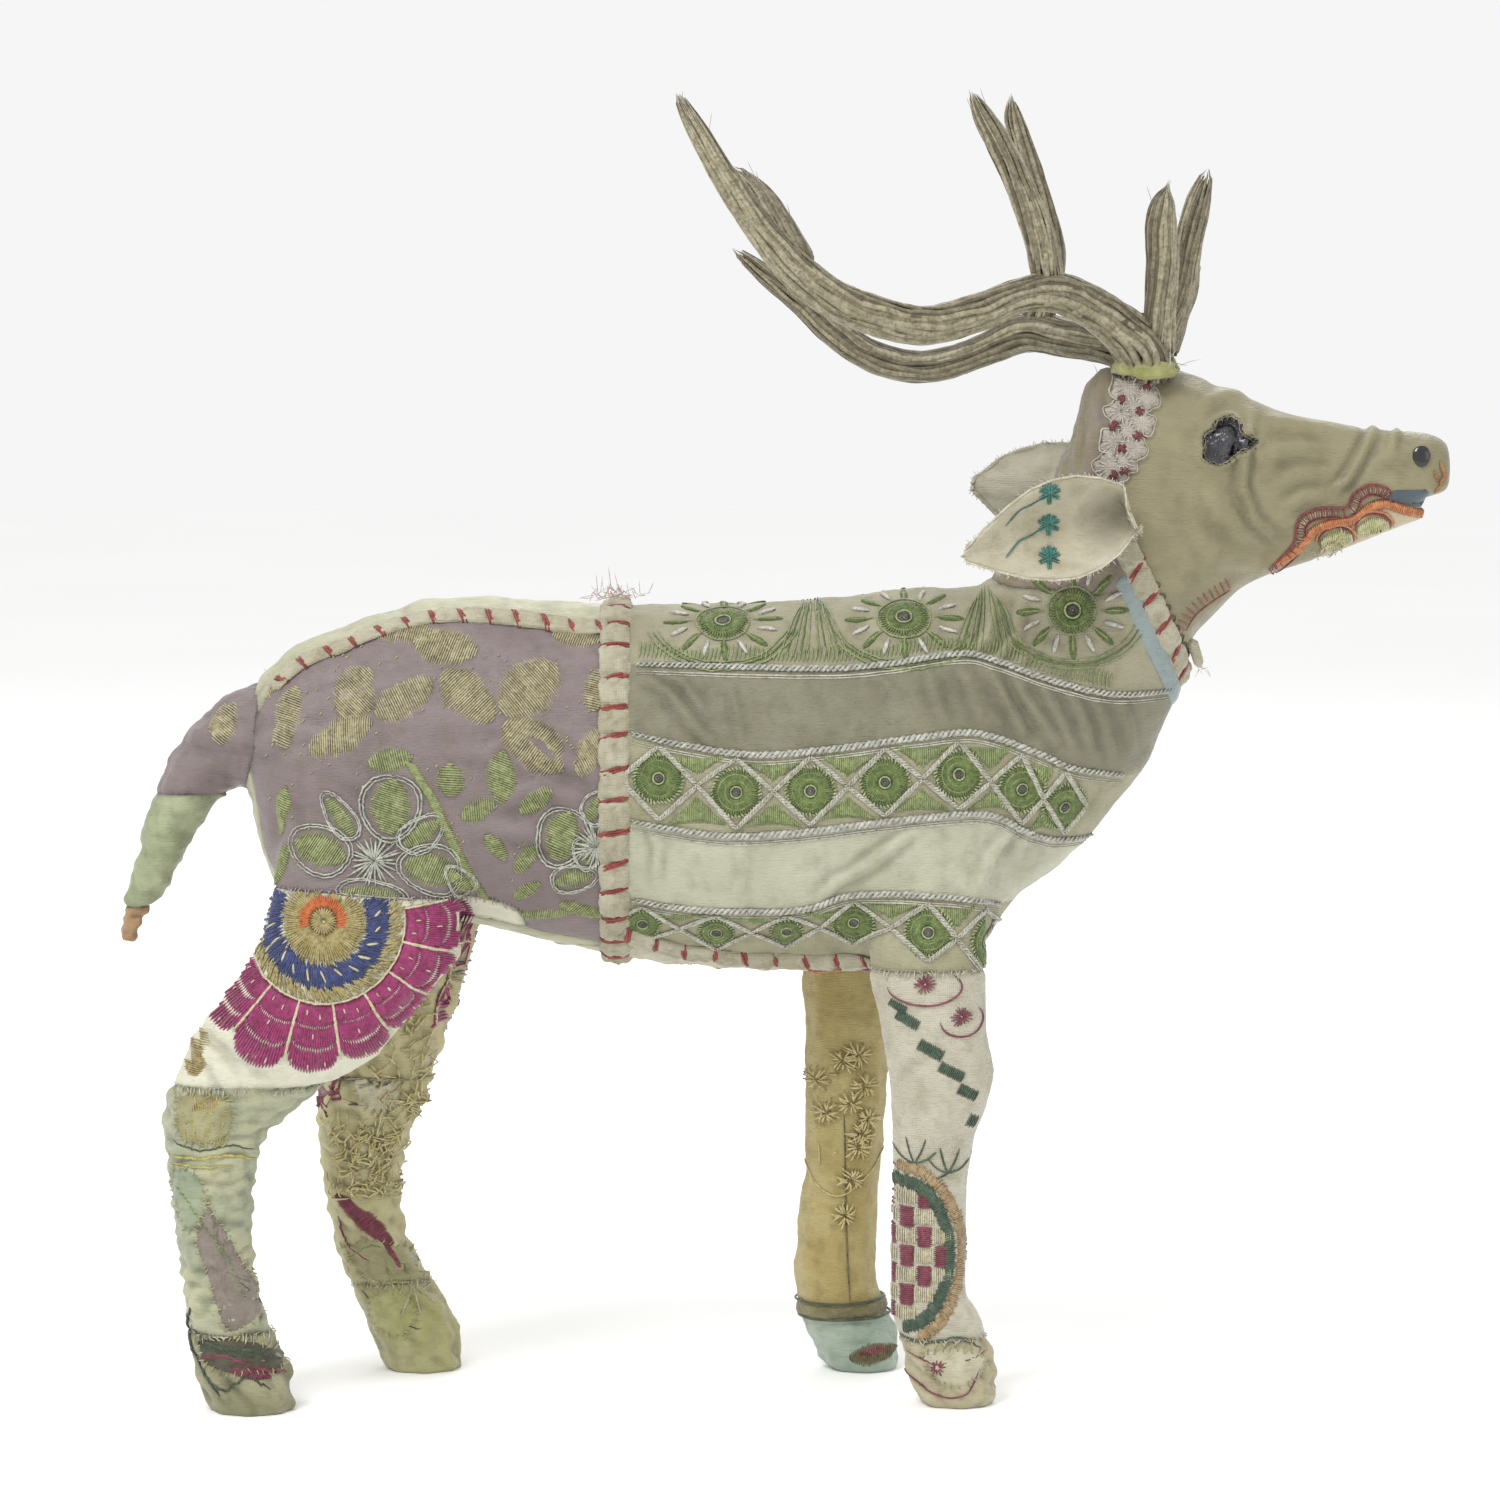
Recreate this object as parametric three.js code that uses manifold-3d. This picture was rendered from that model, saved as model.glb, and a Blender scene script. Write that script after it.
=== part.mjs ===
// A standing stag sewn from old embroidered cloth over a stuffed form: a stuffed body, head, legs and tail
// on a bent wire frame, covered by a thin skin of fabric panels, rolled tapes and thread-wrapped antlers.
// Units are millimetres. +X is towards the head, +Y the stag's left side, +Z up, and the ground is z = 0.
import * as THREE from "three";
import { mergeVertices } from "three/addons/utils/BufferGeometryUtils.js";
import Module from "manifold-3d";

const wasm = await Module();
wasm.setup();

// Driving dimensions of the stuffed form, under the cloth.
const torsoLength = 236;
const torsoDepth = 114;
const torsoWidth = 74;
const legLength = 128.5;
const legThickness = 20;
const hipStance = 25;
const neckReach = 54;
const neckRise = 110;
const neckDepth = 92;
const neckWidth = 60;
const neckInset = 26;
const neckFootRise = 63;
const headLength = 100;
const headDepth = 88;
const headWidth = 50;
const headSetback = 9;
const headDrop = 77;
const tailReach = 62;
const tailThickness = 33;
const tailRootRise = 70;
const tailWrapDrop = 16;
const tailTipDrop = 50;
const antlerSpan = 138;
const antlerRise = 76;
const antlerSpread = 40;
const antlerThickness = 5.3;
const earLength = 53;
const farEarLength = 46;
const earWidth = 29;

// Cloth, tapes, wires and beads.
const gap = 0.3;
const clothThickness = 1.5;
const tapeThickness = 2.4;
const ribbonThickness = 1.1;
const laceThickness = 1.6;
const girthFromRump = 108;
const girthTapeWidth = 9.6;
const spineTapeWidth = 6;
const spineTapeOffset = 14;
const spineTapeTail = 8;
const bellyTapeWidth = 7.5;
const bellyTapeFromChest = 51;
const bellyPanelRise = 3.5;
const collarTapeWidth = 11.5;
const ribbonWidth = 6;
const collarClearOfEar = 9;
const wireDiameter = 3;
const pegDiameter = 3.4;
const pegLength = 30;
const earThickness = 1.2;
const earClearance = 1;
const earStandoff = 1.5;
const earCup = 0.55;
const earTipHalf = 1.2;
const laceClearOfCollar = 2;
const laceReach = 10;
const laceParting = 6;
const tabWidth = 4.4;
const eyeHalfWidth = 8.5;
const eyeHalfHeight = 7.6;
const eyeHalfDepth = 5;
const eyeProud = 1.6;
const nostrilHalfWidth = 3.2;
const nostrilHalfHeight = 4.1;
const nostrilHalfDepth = 3;
const nostrilProud = 1.2;
const cuffWidth = 8;
const clothOuter = gap + clothThickness;
const tapeInner = clothOuter + gap;

// Profiles. Torso, head: share of the length, mid height, half depth and half width, in percent.
const TORSO_ROWS = [
  [0, 57.9, 11.5, 12.3],
  [1.3, 53.5, 25.6, 27.3],
  [4.2, 50.9, 33.5, 36.8],
  [9.3, 52.6, 36.1, 42.2],
  [16.1, 54.8, 38.8, 44.9],
  [24.6, 56.6, 41.8, 46.2],
  [33.9, 54.2, 42.9, 44.9],
  [43.6, 50.7, 45.2, 43.5],
  [56.4, 49.1, 46.7, 45.5],
  [69.1, 48.9, 47.8, 47.6],
  [81.8, 50.4, 49.3, 47.6],
  [90.3, 52.2, 48.9, 42.2],
  [94.9, 54.8, 39.6, 32.7],
  [98.3, 56.1, 28.2, 21.9],
  [100, 56.1, 16, 11.1],
];
const HEAD_ROWS = [
  [-4, 64.8, 29.8, 32.4],
  [2, 56.8, 38.9, 40.4],
  [11, 50, 48, 45.4],
  [22, 47.7, 48, 45.4],
  [33, 54, 36, 39.4],
  [47, 55.7, 27.5, 29.4],
  [61, 55.7, 22.4, 22.4],
  [75, 57.6, 18.2, 18.4],
  [88, 59.9, 14.2, 17.4],
  [96, 61.1, 12.4, 15.4],
  [100.5, 63.1, 7, 8.4],
];
// Neck: share of the reach and of the rise, half depth and half width, in percent.
const NECK_ROWS = [
  [0, 0, 47, 47],
  [31, 9, 42, 45.3],
  [58, 24, 37.5, 40.3],
  [80, 45, 31.5, 35.3],
  [92, 64.5, 26, 32],
  [97, 84.5, 19.5, 28.7],
  [100, 100, 10, 20.3],
];
// Legs: place along and above the ground in percent of the leg's length, half depth and half width in
// percent of its thickness. Hind legs are measured from the rump, forelegs from the chest.
const RIGHT_HIND_ROWS = [
  [27.7, 132.3, 126, 31],
  [26.9, 115.4, 141, 61],
  [16.9, 97.7, 116, 71],
  [6.9, 88.5, 94, 66],
  [-1.5, 80, 84, 61],
  [-8, 71.5, 79, 53],
  [-9.8, 61.5, 60, 48],
  [-9.8, 50.8, 51, 46],
  [-9.3, 40, 47, 46],
  [-8.2, 29.2, 44, 46],
  [-6.5, 20, 49, 48],
  [-4.2, 12.3, 58, 53],
  [-1.5, 5.4, 58, 53],
  [0.4, -1.5, 46, 46],
];
const LEFT_HIND_ROWS = [
  [33, 132.3, 121, 31],
  [32, 113.8, 121, 61],
  [30.5, 98.5, 101, 66],
  [29, 86.2, 84, 64],
  [27, 75.4, 78, 58],
  [24, 66.2, 72, 53],
  [22.3, 56.9, 60, 48],
  [22.3, 47.7, 51, 46],
  [23.2, 36.9, 45, 43],
  [25.2, 27.7, 46, 46],
  [28.6, 20.8, 48, 48],
  [32.5, 13.8, 53, 51],
  [36, 6.2, 57, 53],
  [38, -1.5, 41, 43],
];
const RIGHT_FORE_ROWS = [
  [-27.7, 123.1, 81, 31],
  [-26.9, 100.8, 77, 53],
  [-25.2, 87.2, 69, 56],
  [-23.7, 78.5, 70, 53],
  [-24.2, 72.3, 63, 51],
  [-25.6, 63.8, 52, 48],
  [-26.2, 51.2, 45, 46],
  [-26.7, 36.9, 47, 46],
  [-26.5, 23.8, 47, 47],
  [-23.8, 18.5, 53, 51],
  [-21.5, 10, 57, 53],
  [-19.6, 3.1, 51, 48],
  [-18.8, -2.3, 36, 38],
];
const LEFT_FORE_ROWS = [
  [-44.6, 123.1, 71, 31],
  [-44.6, 96.2, 61, 51],
  [-45, 77.7, 55, 53],
  [-45.4, 63.5, 53, 51],
  [-46, 48.9, 48, 48],
  [-47.4, 34.6, 52, 48],
  [-47.7, 20.8, 54, 51],
  [-46.2, 14.3, 54, 51],
  [-42.6, 7.2, 55, 52],
  [-40.4, 1.5, 43, 46],
  [-40, -2.3, 31, 36],
];
// Tail: reach back and drop in percent of its reach, radius in percent of its thickness.
const TAIL_ROWS = [
  [21, 0, 47.5],
  [0, 0, 45.9],
  [-12.9, -3.2, 35],
  [-25.8, -12.9, 27.5],
  [-38.7, -32.3, 19.4],
  [-47.6, -53.2, 15.6],
  [-54.8, -72.6, 9.5],
  [-62.1, -87.1, 7.5],
  [-64, -98.4, 5],
];
// Antlers: reach back, reach out, height and radius, in percent of their span, spread, rise and thickness.
const RIGHT_BEAM_ROWS = [
  [0, 25, -10.5, 150],
  [-0.7, 26.2, 1.3, 150],
  [-8.3, 37.5, 14.5, 116],
  [-15.6, 48.8, 22.4, 108],
  [-21.4, 57.5, 25.7, 106],
  [-28.9, 67.5, 23.7, 90],
  [-37.3, 77.5, 17.8, 98],
  [-48.2, 87.5, 13.2, 102],
  [-58, 95, 16.3, 104],
  [-68, 98.8, 23.7, 102],
  [-76.4, 100, 35.5, 96],
  [-83.8, 96.2, 51.1, 82],
  [-91.3, 88.8, 70.7, 68],
  [-97.2, 81.2, 88.8, 56],
  [-100.4, 77.5, 99.3, 32],
];
const RIGHT_UPRIGHT_ROWS = [
  [-21.4, 57.5, 28.9, 92],
  [-23.9, 55, 48, 86],
  [-28.1, 50, 67.6, 76],
  [-32.2, 46.2, 82.8, 70],
  [-35.6, 42.5, 93.3, 56],
  [-37.7, 41.2, 100.7, 28],
];
const RIGHT_BACK_ROWS = [
  [-74.3, 95, 35.5, 84],
  [-80.5, 82.5, 52.6, 90],
  [-84.7, 73.8, 63.2, 78],
  [-88.4, 67.5, 71.4, 44],
];
const RIGHT_BROW_ROWS = [
  [2.5, 28.7, 1.3, 92],
  [2.7, 31.2, 17.8, 82],
  [3.1, 33.8, 35.9, 82],
  [2.7, 35, 51.1, 80],
  [3.1, 35, 60.1, 60],
  [3.9, 35, 65.3, 18],
];
const LEFT_BEAM_ROWS = [
  [0, 25, -10.5, 130],
  [-1.4, 26.2, 0, 130],
  [-8.3, 35, 3.9, 112],
  [-16.3, 46.2, 5.3, 104],
  [-24.8, 56.2, 7.2, 104],
  [-34.8, 67.5, -0.3, 86],
  [-43.1, 76.2, -5.7, 88],
  [-51.4, 82.5, -6.6, 86],
  [-59.8, 87.5, -1.8, 86],
  [-67.2, 90, 7.2, 82],
  [-74.7, 90, 19.3, 68],
  [-82.2, 87.5, 29.9, 56],
  [-88, 85, 38.2, 30],
];
const LEFT_UPRIGHT_ROWS = [
  [-23.2, 55, 9.2, 92],
  [-20.7, 57.5, 26.3, 84],
  [-19.9, 57.5, 40.8, 80],
  [-22.2, 55, 57.9, 74],
  [-25.6, 51.2, 77.6, 64],
  [-28.1, 48.8, 92.1, 52],
  [-28.6, 47.5, 98.7, 26],
];
const LEFT_BROW_ROWS = [
  [4.7, 30, 0, 84],
  [8.5, 35, 23.7, 72],
  [10.1, 38.8, 42.1, 74],
  [12.2, 42.5, 58.7, 68],
  [13.9, 45, 69.1, 40],
];
const LEFT_SIDE_BROW_ROWS = [
  [6, 33, 3, 56],
  [7.6, 42, 12, 56],
  [10.1, 50, 24, 56],
  [11.8, 55, 35.5, 30],
];

// Solids.
const FAR = 1000;

function solid(geometry) {
  const bare = new THREE.BufferGeometry();
  const flat = geometry.index ? geometry.toNonIndexed() : geometry;
  bare.setAttribute("position", flat.getAttribute("position"));
  const merged = mergeVertices(bare, 1e-4);
  return new wasm.Manifold(
    new wasm.Mesh({
      numProp: 3,
      vertProperties: merged.attributes.position.array,
      triVerts: new Uint32Array(merged.index.array),
    }),
  );
}

function largest(shape) {
  return shape.decompose().sort((a, b) => b.volume() - a.volume())[0];
}

// A closed skin of ring after ring, each a list of the same number of points.
function skinned(rings) {
  const sides = rings[0].length;
  const positions = [];
  const face = (a, b, c) => positions.push(...a.toArray(), ...b.toArray(), ...c.toArray());
  for (let i = 0; i + 1 < rings.length; i += 1) {
    for (let j = 0; j < sides; j += 1) {
      const k = (j + 1) % sides;
      face(rings[i][j], rings[i][k], rings[i + 1][k]);
      face(rings[i][j], rings[i + 1][k], rings[i + 1][j]);
    }
  }
  const centre = (ring) => ring.reduce((sum, p) => sum.add(p), new THREE.Vector3()).divideScalar(sides);
  const first = centre(rings[0]);
  const last = centre(rings.at(-1));
  for (let j = 0; j < sides; j += 1) {
    const k = (j + 1) % sides;
    face(first, rings[0][k], rings[0][j]);
    face(last, rings.at(-1)[j], rings.at(-1)[k]);
  }
  const geometry = new THREE.BufferGeometry();
  geometry.setAttribute("position", new THREE.BufferAttribute(new Float32Array(positions), 3));
  const shape = solid(geometry);
  return shape.volume() > 0 ? shape : solid(flipped(geometry));
}

function flipped(geometry) {
  const p = geometry.getAttribute("position").array.slice();
  for (let i = 0; i < p.length; i += 9) {
    for (let k = 0; k < 3; k += 1) {
      [p[i + 3 + k], p[i + 6 + k]] = [p[i + 6 + k], p[i + 3 + k]];
    }
  }
  const turned = new THREE.BufferGeometry();
  turned.setAttribute("position", new THREE.BufferAttribute(p, 3));
  return turned;
}

// Stations { at, deep, wide } joined by oval rings, each grown outwards by grow. The rings stand square
// to the path, or upright across +X.
function loft(stations, { sides, steps, grow = 0, upright = false }) {
  const path = new THREE.CatmullRomCurve3(stations.map((s) => s.at), false, "centripetal");
  const sizes = new THREE.CatmullRomCurve3(stations.map((s) => new THREE.Vector3(s.deep, s.wide, 0)));
  const rings = [];
  for (let i = 0; i <= steps; i += 1) {
    const t = i / steps;
    const centre = path.getPoint(t);
    const along = upright ? new THREE.Vector3(1, 0, 0) : path.getTangent(t);
    const size = sizes.getPoint(t);
    if (i === 0) centre.addScaledVector(along, -grow);
    if (i === steps) centre.addScaledVector(along, grow);
    const across = new THREE.Vector3(0, 1, 0).projectOnPlane(along).normalize();
    const upward = new THREE.Vector3().crossVectors(along, across);
    const ring = [];
    for (let j = 0; j < sides; j += 1) {
      const turn = (2 * Math.PI * j) / sides;
      const point = centre.clone();
      point.addScaledVector(across, Math.cos(turn) * (size.y + grow));
      point.addScaledVector(upward, Math.sin(turn) * (size.x + grow));
      ring.push(point);
    }
    rings.push(ring);
  }
  return skinned(rings);
}

function prism(outline) {
  const shape = new THREE.Shape(outline.map(([x, z]) => new THREE.Vector2(x, z)));
  const geometry = new THREE.ExtrudeGeometry(shape, { depth: 2 * FAR, bevelEnabled: false });
  geometry.translate(0, 0, -FAR);
  geometry.rotateX(Math.PI / 2);
  return solid(geometry);
}

function block(low, high) {
  const size = high.map((h, i) => h - low[i]);
  const geometry = new THREE.BoxGeometry(...size);
  geometry.translate(...high.map((h, i) => (h + low[i]) / 2));
  return solid(geometry);
}

function ellipsoid(centre, halves, segments = 8) {
  const geometry = new THREE.SphereGeometry(1, segments, segments / 2 + 1);
  geometry.scale(...halves);
  geometry.translate(...centre);
  return solid(geometry);
}

const slab = {
  x: (low, high) => block([low, -FAR, -FAR], [high, FAR, FAR]),
  y: (low, high) => block([-FAR, low, -FAR], [FAR, high, FAR]),
  z: (low, high) => block([-FAR, -FAR, low], [FAR, FAR, high]),
};

// All that lies in front of, or behind, a line that runs from the top down.
function ahead(line, shift) {
  const edge = line.map(([x, z]) => [x + shift, z]);
  return prism([[FAR, FAR], [edge[0][0], FAR], ...edge, [edge.at(-1)[0], -FAR], [FAR, -FAR]]);
}

function behind(line, shift) {
  const edge = line.map(([x, z]) => [x - shift, z]);
  return prism([[-FAR, FAR], [edge[0][0], FAR], ...edge, [edge.at(-1)[0], -FAR], [-FAR, -FAR]]);
}

// All that lies above, or below, a line that runs from the rump forward.
function above(line, shift) {
  const edge = line.map(([x, z]) => [x, z + shift]);
  return prism([[-FAR, FAR], [-FAR, edge[0][1]], ...edge, [FAR, edge.at(-1)[1]], [FAR, FAR]]);
}

function below(line, shift) {
  const edge = line.map(([x, z]) => [x, z - shift]);
  return prism([[-FAR, -FAR], [-FAR, edge[0][1]], ...edge, [FAR, edge.at(-1)[1]], [FAR, -FAR]]);
}

// The stuffed form: torso, neck and head as one surface, at any growth.
const neckBase = new THREE.Vector2(torsoLength - neckInset, legLength + neckFootRise);
const headBase = new THREE.Vector2(neckBase.x + neckReach - headSetback, neckBase.y + neckRise - headDrop);

function headPoint(along, up) {
  return [headBase.x + (along / 100) * headLength, headBase.y + (up / 100) * headDepth];
}

function rowsAlong(rows, base, length, depth, width) {
  return rows.map(([along, mid, deep, wide]) => ({
    at: new THREE.Vector3(base.x + (along / 100) * length, 0, base.y + (mid / 100) * depth),
    deep: (deep / 100) * depth,
    wide: (wide / 100) * width,
  }));
}

const torsoStations = rowsAlong(
  TORSO_ROWS, new THREE.Vector2(0, legLength), torsoLength, torsoDepth, torsoWidth,
);
const headStations = rowsAlong(HEAD_ROWS, headBase, headLength, headDepth, headWidth);
const neckStations = NECK_ROWS.map(([reach, rise, deep, wide]) => ({
  at: new THREE.Vector3(
    neckBase.x + (reach / 100) * neckReach, 0, neckBase.y + (rise / 100) * neckRise,
  ),
  deep: (deep / 100) * neckDepth,
  wide: (wide / 100) * neckWidth,
}));

const forms = new Map();
function bodyForm(grow) {
  if (!forms.has(grow)) {
    const torso = loft(torsoStations, { sides: 16, steps: 15, grow, upright: true });
    const neck = loft(neckStations, { sides: 16, steps: 7, grow });
    const head = loft(headStations, { sides: 12, steps: 11, grow, upright: true });
    forms.set(grow, torso.add(neck).add(head));
  }
  return forms.get(grow);
}

function shell(inner, outer) {
  return bodyForm(outer).subtract(bodyForm(inner));
}

// How far out the grown form's side stands, at a place along and above.
function sideAt([x, z], grow) {
  const column = block([x - 0.5, 0, z - 0.5], [x + 0.5, FAR, z + 0.5]);
  return bodyForm(grow).intersect(column).boundingBox().max[1];
}

// How high the stuffed torso's underside is, at a place along it.
function undersideAt(x) {
  const low = torsoStations.map((s) => [s.at.x, s.at.z - s.deep]);
  const next = low.findIndex(([along]) => along >= x);
  const [[x0, z0], [x1, z1]] = [low[next - 1], low[next]];
  return z0 + ((z1 - z0) * (x - x0)) / (x1 - x0);
}

// Legs.
function legStations({ rows, from, side, foot }) {
  const top = rows[0][1];
  const out = (up) => foot + ((hipStance - foot) * up) / top;
  return rows.map(([along, up, deep, wide]) => ({
    at: new THREE.Vector3(
      from + (along / 100) * legLength, side * out(up), (up / 100) * legLength,
    ),
    deep: (deep / 100) * legThickness,
    wide: (wide / 100) * legThickness,
  }));
}

const legs = {
  right_hind: { rows: RIGHT_HIND_ROWS, from: 0, side: -1, foot: 33, hoof: 24, split: 98 },
  left_hind: { rows: LEFT_HIND_ROWS, from: 0, side: 1, foot: 30, hoof: 28, split: 92 },
  right_fore: { rows: RIGHT_FORE_ROWS, from: torsoLength, side: -1, foot: 23, hoof: 21 },
  left_fore: { rows: LEFT_FORE_ROWS, from: torsoLength, side: 1, foot: 30, hoof: 20 },
};
for (const leg of Object.values(legs)) {
  leg.stations = legStations(leg);
  leg.form = (grow) => loft(leg.stations, { sides: 8, steps: 12, grow });
}

// Tail.
const tailBase = new THREE.Vector3(0, 0, legLength + tailRootRise);
const tailStations = TAIL_ROWS.map(([reach, drop, radius]) => ({
  at: new THREE.Vector3(
    tailBase.x + (reach / 100) * tailReach, 0, tailBase.z + (drop / 100) * tailReach,
  ),
  deep: (radius / 100) * tailThickness,
  wide: (radius / 100) * tailThickness,
}));
const tailSplit = tailBase.z - tailWrapDrop;
const tailTipTop = tailBase.z - tailTipDrop;
const tailForm = (grow) => loft(tailStations, { sides: 8, steps: 10, grow });

// Bent wires: the spine from tail to skull, and one down each leg.
function wire(points, radius, sides = 6) {
  const stations = points.map((at) => ({ at, deep: radius, wide: radius }));
  return loft(stations, { sides, steps: points.length + 1 });
}

const spinePoints = [
  ...tailStations.slice(1, 5).reverse().map((s) => s.at),
  ...[2, 5, 8].map((i) => torsoStations[i].at),
  ...[1, 2, 3, 4].map((i) => neckStations[i].at),
  new THREE.Vector3(headPoint(22, 0)[0], 0, headPoint(0, 66)[1]),
];
const wireRadius = wireDiameter / 2;
const legPoints = (leg) => leg.stations.slice(0, -2).map((s) => s.at);
const boreRadius = wireRadius + gap;
const wireEndGap = gap * 1.7;
const longer = (points) => {
  const first = points[0].clone().addScaledVector(
    points[0].clone().sub(points[1]).normalize(), wireEndGap,
  );
  const last = points.at(-1).clone().addScaledVector(
    points.at(-1).clone().sub(points.at(-2)).normalize(), wireEndGap,
  );
  return [first, ...points.slice(1, -1), last];
};
const spineBore = wire(longer(spinePoints), boreRadius);

// Antlers, their tines and the pegs that hold them.
const antlerBase = new THREE.Vector3(...[headPoint(11.5, 0)[0], 0, headPoint(0, 102.3)[1]]);
function twig(rows, side, { grow = 0, steps = rows.length + 2 } = {}) {
  const stations = rows.map(([back, out, up, radius]) => {
    const size = (radius / 100) * antlerThickness;
    return {
      at: new THREE.Vector3(
        antlerBase.x + (back / 100) * antlerSpan,
        (side * out * antlerSpread) / 100,
        antlerBase.z + (up / 100) * antlerRise,
      ),
      deep: size,
      wide: size,
    };
  });
  return loft(stations, { sides: 8, steps, grow });
}

function peg(side, radius, spare = 0) {
  const foot = [headPoint(11.5, 0)[0], (side * antlerSpread) / 4, antlerBase.z - pegLength * 0.6];
  const at = [0, 0.5, 1].map((t) => {
    const up = t * pegLength + (t * 2 - 1) * spare;
    return new THREE.Vector3(foot[0], foot[1], foot[2] + up);
  });
  return wire(at, radius);
}

// Seam lines.
const girthLine = [[girthFromRump, FAR], [girthFromRump, -FAR]];
const collarLine = [
  headPoint(6, 118), headPoint(2, 62.5), headPoint(0.5, 45.5), headPoint(23, -9), headPoint(31, -41),
];
const napeLine = [[torsoLength - 38, legLength + 132], [torsoLength - 12, legLength + 117]];
napeLine.push([headBase.x, legLength + 115.5]);
const bellyLine = [girthFromRump, torsoLength - bellyTapeFromChest]
  .map((x) => [x, undersideAt(x) + bellyPanelRise]);
const jawOutline = [
  headPoint(48, -10), headPoint(48, 10), headPoint(53, 16), headPoint(69, 41), headPoint(80, 54.5),
  headPoint(115, 56.3), headPoint(115, -10),
];
const mouthOutline = [
  headPoint(74, 53.2), headPoint(115, 56.6), headPoint(115, 10), headPoint(95.8, 10),
  headPoint(95.8, 48.3), headPoint(93, 49.4),
];
const liningOutline = [headPoint(75.5, 53.05), headPoint(94, 54.6), headPoint(93.5, 50), headPoint(90, 50.4)];
const eyePlace = headPoint(35, 73.2);
const nostrilPlace = headPoint(93.8, 68.2);
const earPlace = headPoint(3.5, 51.5);
const SIDES = { right: -1, left: 1 };

// Sleeves are the cloth round a limb: its outer form less its inner one.
function sleeve(form, inner, outer) {
  return form(outer).subtract(form(inner));
}

const beads = {};
for (const [side, sign] of Object.entries(SIDES)) {
  const eyeOut = sideAt(eyePlace, clothOuter) - eyeHalfDepth + eyeProud;
  const eyeCentre = [eyePlace[0], sign * eyeOut, eyePlace[1]];
  const nostrilOut = sideAt(nostrilPlace, clothOuter) - nostrilHalfDepth + nostrilProud;
  const nostrilCentre = [nostrilPlace[0], sign * nostrilOut, nostrilPlace[1]];
  beads[side + "_eye"] = { centre: eyeCentre, halves: [eyeHalfWidth, eyeHalfDepth, eyeHalfHeight] };
  beads[side + "_nostril"] = {
    centre: nostrilCentre,
    halves: [nostrilHalfWidth, nostrilHalfDepth, nostrilHalfHeight],
  };
}
const socket = (bead) => ellipsoid(bead.centre, bead.halves.map((h) => h + 2 * gap));

function cutAll(shape, cutters) {
  return cutters.reduce((left, cutter) => left.subtract(cutter), shape);
}

const legWires = {};
const legBores = {};
for (const [name, leg] of Object.entries(legs)) {
  legWires[name] = wire(legPoints(leg), wireRadius);
  legBores[name] = wire(longer(legPoints(leg)), boreRadius);
}
const sockets = Object.values(beads).map(socket);
const pegBores = Object.values(SIDES).map((sign) => peg(sign, pegDiameter / 2 + gap, wireEndGap));
const mouthCut = prism(mouthOutline);
const coreBores = [spineBore, ...Object.values(legBores), ...pegBores, ...sockets, mouthCut];
const limbHoles = [
  tailForm(clothOuter + gap),
  ...Object.values(legs).map((leg) => leg.form(clothOuter + gap)),
];

const parts = [];
function part(name, shape, color, { roughness = 0.95, metalness = 0 } = {}) {
  parts.push({ name, shape, color, roughness, metalness });
}

// Colours.
const STUFFING = 0x9c8463;
const STEEL = 0x8b8f92;
const CREAM = 0xcfc6a2;
const LILAC = 0xa08c94;
const SAGE = 0x9aa774;
const SILK_GREY = 0xa79d85;

function makeCores() {
  const core = cutAll(bodyForm(0), coreBores);
  part("body_core", largest(core.intersect(behind(collarLine, gap / 2))), STUFFING);
  part("head_core", largest(core.intersect(ahead(collarLine, gap / 2))), STUFFING);
  const tail = tailForm(0).subtract(bodyForm(gap)).subtract(spineBore);
  part("tail_core", largest(tail.intersect(slab.z(tailTipTop + gap / 2, FAR))), STUFFING);
  for (const [name, leg] of Object.entries(legs)) {
    const core = leg.form(0).subtract(bodyForm(gap)).subtract(legBores[name]);
    part(name + "_core", largest(core.intersect(slab.z(leg.hoof + gap / 2, FAR))), STUFFING);
  }
}

function makeWires() {
  part("spine_wire", wire(spinePoints, wireRadius), STEEL, { roughness: 0.45, metalness: 0.8 });
  for (const name of Object.keys(legs)) {
    part(name + "_wire", legWires[name], STEEL, { roughness: 0.45, metalness: 0.8 });
  }
  for (const [side, sign] of Object.entries(SIDES)) {
    part(side + "_antler_peg", peg(sign, pegDiameter / 2), 0x8a6a45);
  }
}

function makeBodyCovers() {
  const skin = cutAll(shell(gap, clothOuter), [...limbHoles, spineBore, ...pegBores]);
  const trunk = skin.intersect(behind(collarLine, gap / 2));
  const rump = trunk.intersect(behind(girthLine, gap / 2)).intersect(above(bellyLine, gap / 2));
  const front = trunk.intersect(ahead(girthLine, gap / 2)).intersect(above(bellyLine, gap / 2));
  part("right_rump_cover", largest(rump.intersect(slab.y(-FAR, -spineTapeOffset - gap / 2))), LILAC);
  part("left_rump_cover", largest(rump.intersect(slab.y(-spineTapeOffset + gap / 2, FAR))), 0xb9bd9b);
  part("flank_cover", largest(front.intersect(below(napeLine, gap / 2))), SAGE);
  part("neck_cover", largest(front.intersect(above(napeLine, gap / 2))), 0x93856f);
  part("belly_panel", largest(trunk.intersect(below(bellyLine, gap / 2))), 0xc3bfa5);
}

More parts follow.
